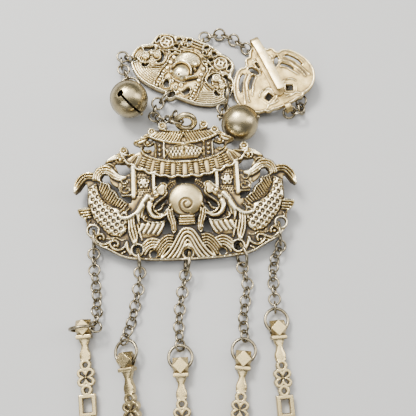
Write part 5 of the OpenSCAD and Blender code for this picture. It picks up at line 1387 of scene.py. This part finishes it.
def tool_place(i):
    head, way, roll = TOOLS[i]
    way, roll = math.radians(way), math.radians(roll)
    lift = HEAD_R * (math.cos(roll) + abs(math.sin(roll))) + HEAD_DIP
    low = SHANK_T / 2 * math.cos(roll) + TIP_HALF * abs(math.sin(roll))
    sink = math.asin((lift - low) / TOOL_L)

    def place(x, y, z):
        ry, rz = y * math.cos(roll) - z * math.sin(roll), y * math.sin(roll) + z * math.cos(roll)
        sx, sz = x * math.cos(sink) + rz * math.sin(sink), rz * math.cos(sink) - x * math.sin(sink)
        return (head[0] + sx * math.cos(way) - ry * math.sin(way) - MIDDLE[0],
                head[1] + sx * math.sin(way) + ry * math.cos(way) - MIDDLE[1], lift + sz)
    return place


def whole(upper):
    """An outline from its upper half."""
    half = np.array(upper, float)
    return np.vstack([half, (half * [1, -1])[::-1]])


def shank_area(i):
    plan = Field((1.8, -3.6), (67, 3.6), 0.1)
    plan.fill(whole(BALUSTER))
    for x in SHANK_HOLES:
        plan.fill_round([(x, 0)], DISC_R)
    for sx, sy in CORNERS:
        plan.fill_round([(LEAF_AT + sx * LEAF_SPREAD, sy * LEAF_SPREAD)], LEAF_R)
    for upper in SHANK_BARS + TOOL_ENDS[i]:
        plan.fill(whole(upper))
    if i == 1:
        plan.fill_round([SPOON_AT], SPOON_R)
    # Four drops that nearly meet in the leaf's middle, the two holes and the window
    for sx, sy in CORNERS:
        drop = [(LEAF_AT + far * sx, far * sy) for far in DROP_ENDS]
        far, share = line_distance(*plan.grid(), drop)
        plan.v = np.minimum(plan.v, far - DROP_R - DROP_GROWTH * share)
    for x in SHANK_HOLES:
        plan.cut_round([(x, 0)], HOLE_R)
    plan.cut(whole(WINDOW))
    return plan


def head_shape():
    """Points and faces of a head: a cube cut to the middles of its edges, bored and softened."""
    bm = bmesh.new()
    for flat in (2, 1, 0):
        for sx, sy in CORNERS:
            spot = [sx * HEAD_R, sy * HEAD_R]
            spot.insert(flat, 0.0)
            bm.verts.new(spot)
    bmesh.ops.convex_hull(bm, input=bm.verts)
    bmesh.ops.dissolve_limit(bm, angle_limit=math.radians(2), verts=bm.verts, edges=bm.edges)
    body, cutter = (bpy.data.meshes.new(name) for name in ("head_body", "head_bore"))
    bm.to_mesh(body)
    bm.free()
    bm = bmesh.new()
    across = Matrix.Translation((BORE_AT, 0, 0)) @ Matrix.Rotation(math.radians(90), 4, "X")
    bmesh.ops.create_cone(bm, cap_ends=True, segments=32, radius1=BORE_R, radius2=BORE_R,
                          depth=4 * HEAD_R, matrix=across)
    bm.to_mesh(cutter)
    bm.free()
    head, bore = placed("head_body", body), placed("head_bore", cutter)
    cut = head.modifiers.new("bore", "BOOLEAN")
    cut.object = bore
    cut.operation = "DIFFERENCE"
    soft = head.modifiers.new("soft_edges", "BEVEL")
    soft.width = 0.16
    soft.segments = 3
    soft.limit_method = "ANGLE"
    soft.angle_limit = math.radians(30)
    done = head.evaluated_get(bpy.context.evaluated_depsgraph_get())
    mesh = done.to_mesh()
    points = np.array([v.co[:] for v in mesh.vertices])
    faces = [list(p.vertices) for p in mesh.polygons]
    done.to_mesh_clear()
    for obj in (head, bore):
        bpy.data.objects.remove(obj)
    for mesh in (body, cutter):
        bpy.data.meshes.remove(mesh)
    return points, faces


def make_tool(i, head, mat):
    plan = shank_area(i)
    xs, ys = np.array(BALUSTER).T

    def height(x, y):
        across = np.clip(np.abs(y) / np.interp(x, xs, ys), 0, 1)
        return SHANK_T / 2 - 0.4 * fade(x - 4.0, 0.3) * fade(11.6 - x, 0.8) * across ** 2

    shell = Shell(tool_place(i))
    plate(shell, plan.at, (2.2, -3.3), (66.6, 3.3), TOOL_STEP,
          rounded(plan.at, height, 0.32, 0.26), -SHANK_T / 2, lambda x, y: 0.0, 0.0)
    (start, end), wide, high = COLLAR
    rings = []
    for edge, way, angles in ((start, 1, (0, 45, 90)), (end, -1, (90, 45, 0))):
        for angle in np.radians(angles):
            inset = 2 * COLLAR_SOFT * (1 - math.sin(angle))
            x = edge + way * COLLAR_SOFT * (1 - math.cos(angle))
            section = rounded_section(wide - inset, high - inset, COLLAR_SOFT)
            rings.append([(x, u, v) for u, v in section])
    loft(shell, rings, 0.0)
    points, faces = head
    base = shell.add(*points.T, 0.0)
    for size in sorted({len(face) for face in faces}):
        shell.faces.append(np.array([face for face in faces if len(face) == size]) + base)
    tool = shell.build(f"tool_{i + 1}_fine", mat, 32.0)
    tool.modifiers.new("flat_faces", "WEIGHTED_NORMAL").keep_sharp = True
    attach(tool, "root")
    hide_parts(f"tool_{i + 1}")


# The scene

# Slots of the CAD nodes by the starts of their names: the first that fits counts
SLOTS = [
    (("tassel", "upper", "hook_ring", "middle", "bell_ring", "bell_chain", "tool_ring"),
     "link_silver"),
    ("bell_pellet", "pellet"), (("bell", "suspension"), "grey_silver"), ("tool", "tool_silver"),
    ("garment_hook", "hook_silver"), ("", "plaque_silver")]
# Slot: colours, reach in metres, gain and start of the closed in places (tarnish and painted
# shade), roughness, blotches
PLAIN = {
    "link_silver": (LINK_STOPS, (0.0011, 0.9, 0.06), (0.22, 0.42), 0.22),
    "grey_silver": (GREY_STOPS, (0.0016, 0.9, 0.16), (0.26, 0.48), 0.32),
    "tool_silver": (TOOL_STOPS, (0.0014, 1.1, 0.14), (0.24, 0.45), 0.22),
    "hook_silver": (WARM_STOPS, (0.0012, 0.9, 0.16), (0.3, 0.5), 0.22),
    "plaque_silver": (WARM_STOPS, (0.0012, 0.9, 0.2), (0.3, 0.6), 0.22),
    "pellet": (PELLET_STOPS, (0.002, 0.8, 0.3), (0.4, 0.7), 0.22)}

make_camera()
make_light()
make_floor()

plaque_mat = silver("old_silver_relief", WARM_STOPS, painted, (0.27, 0.6))
make_carp(plaque_mat)
make_cloud(plaque_mat)
make_hook(silver("hook_relief", HOOK_STOPS, painted, (0.34, 0.54), 0.6))

mats = {slot: silver(slot, stops, closed_in(*closed), rough, cloud)
        for slot, (stops, closed, rough, cloud) in PLAIN.items()}
for node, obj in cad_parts.items():
    obj.data.materials.clear()
    obj.data.materials.append(mats[next(slot for start, slot in SLOTS if node.startswith(start))])
head = head_shape()
for i in range(len(TOOLS)):
    make_tool(i, head, mats["tool_silver"])
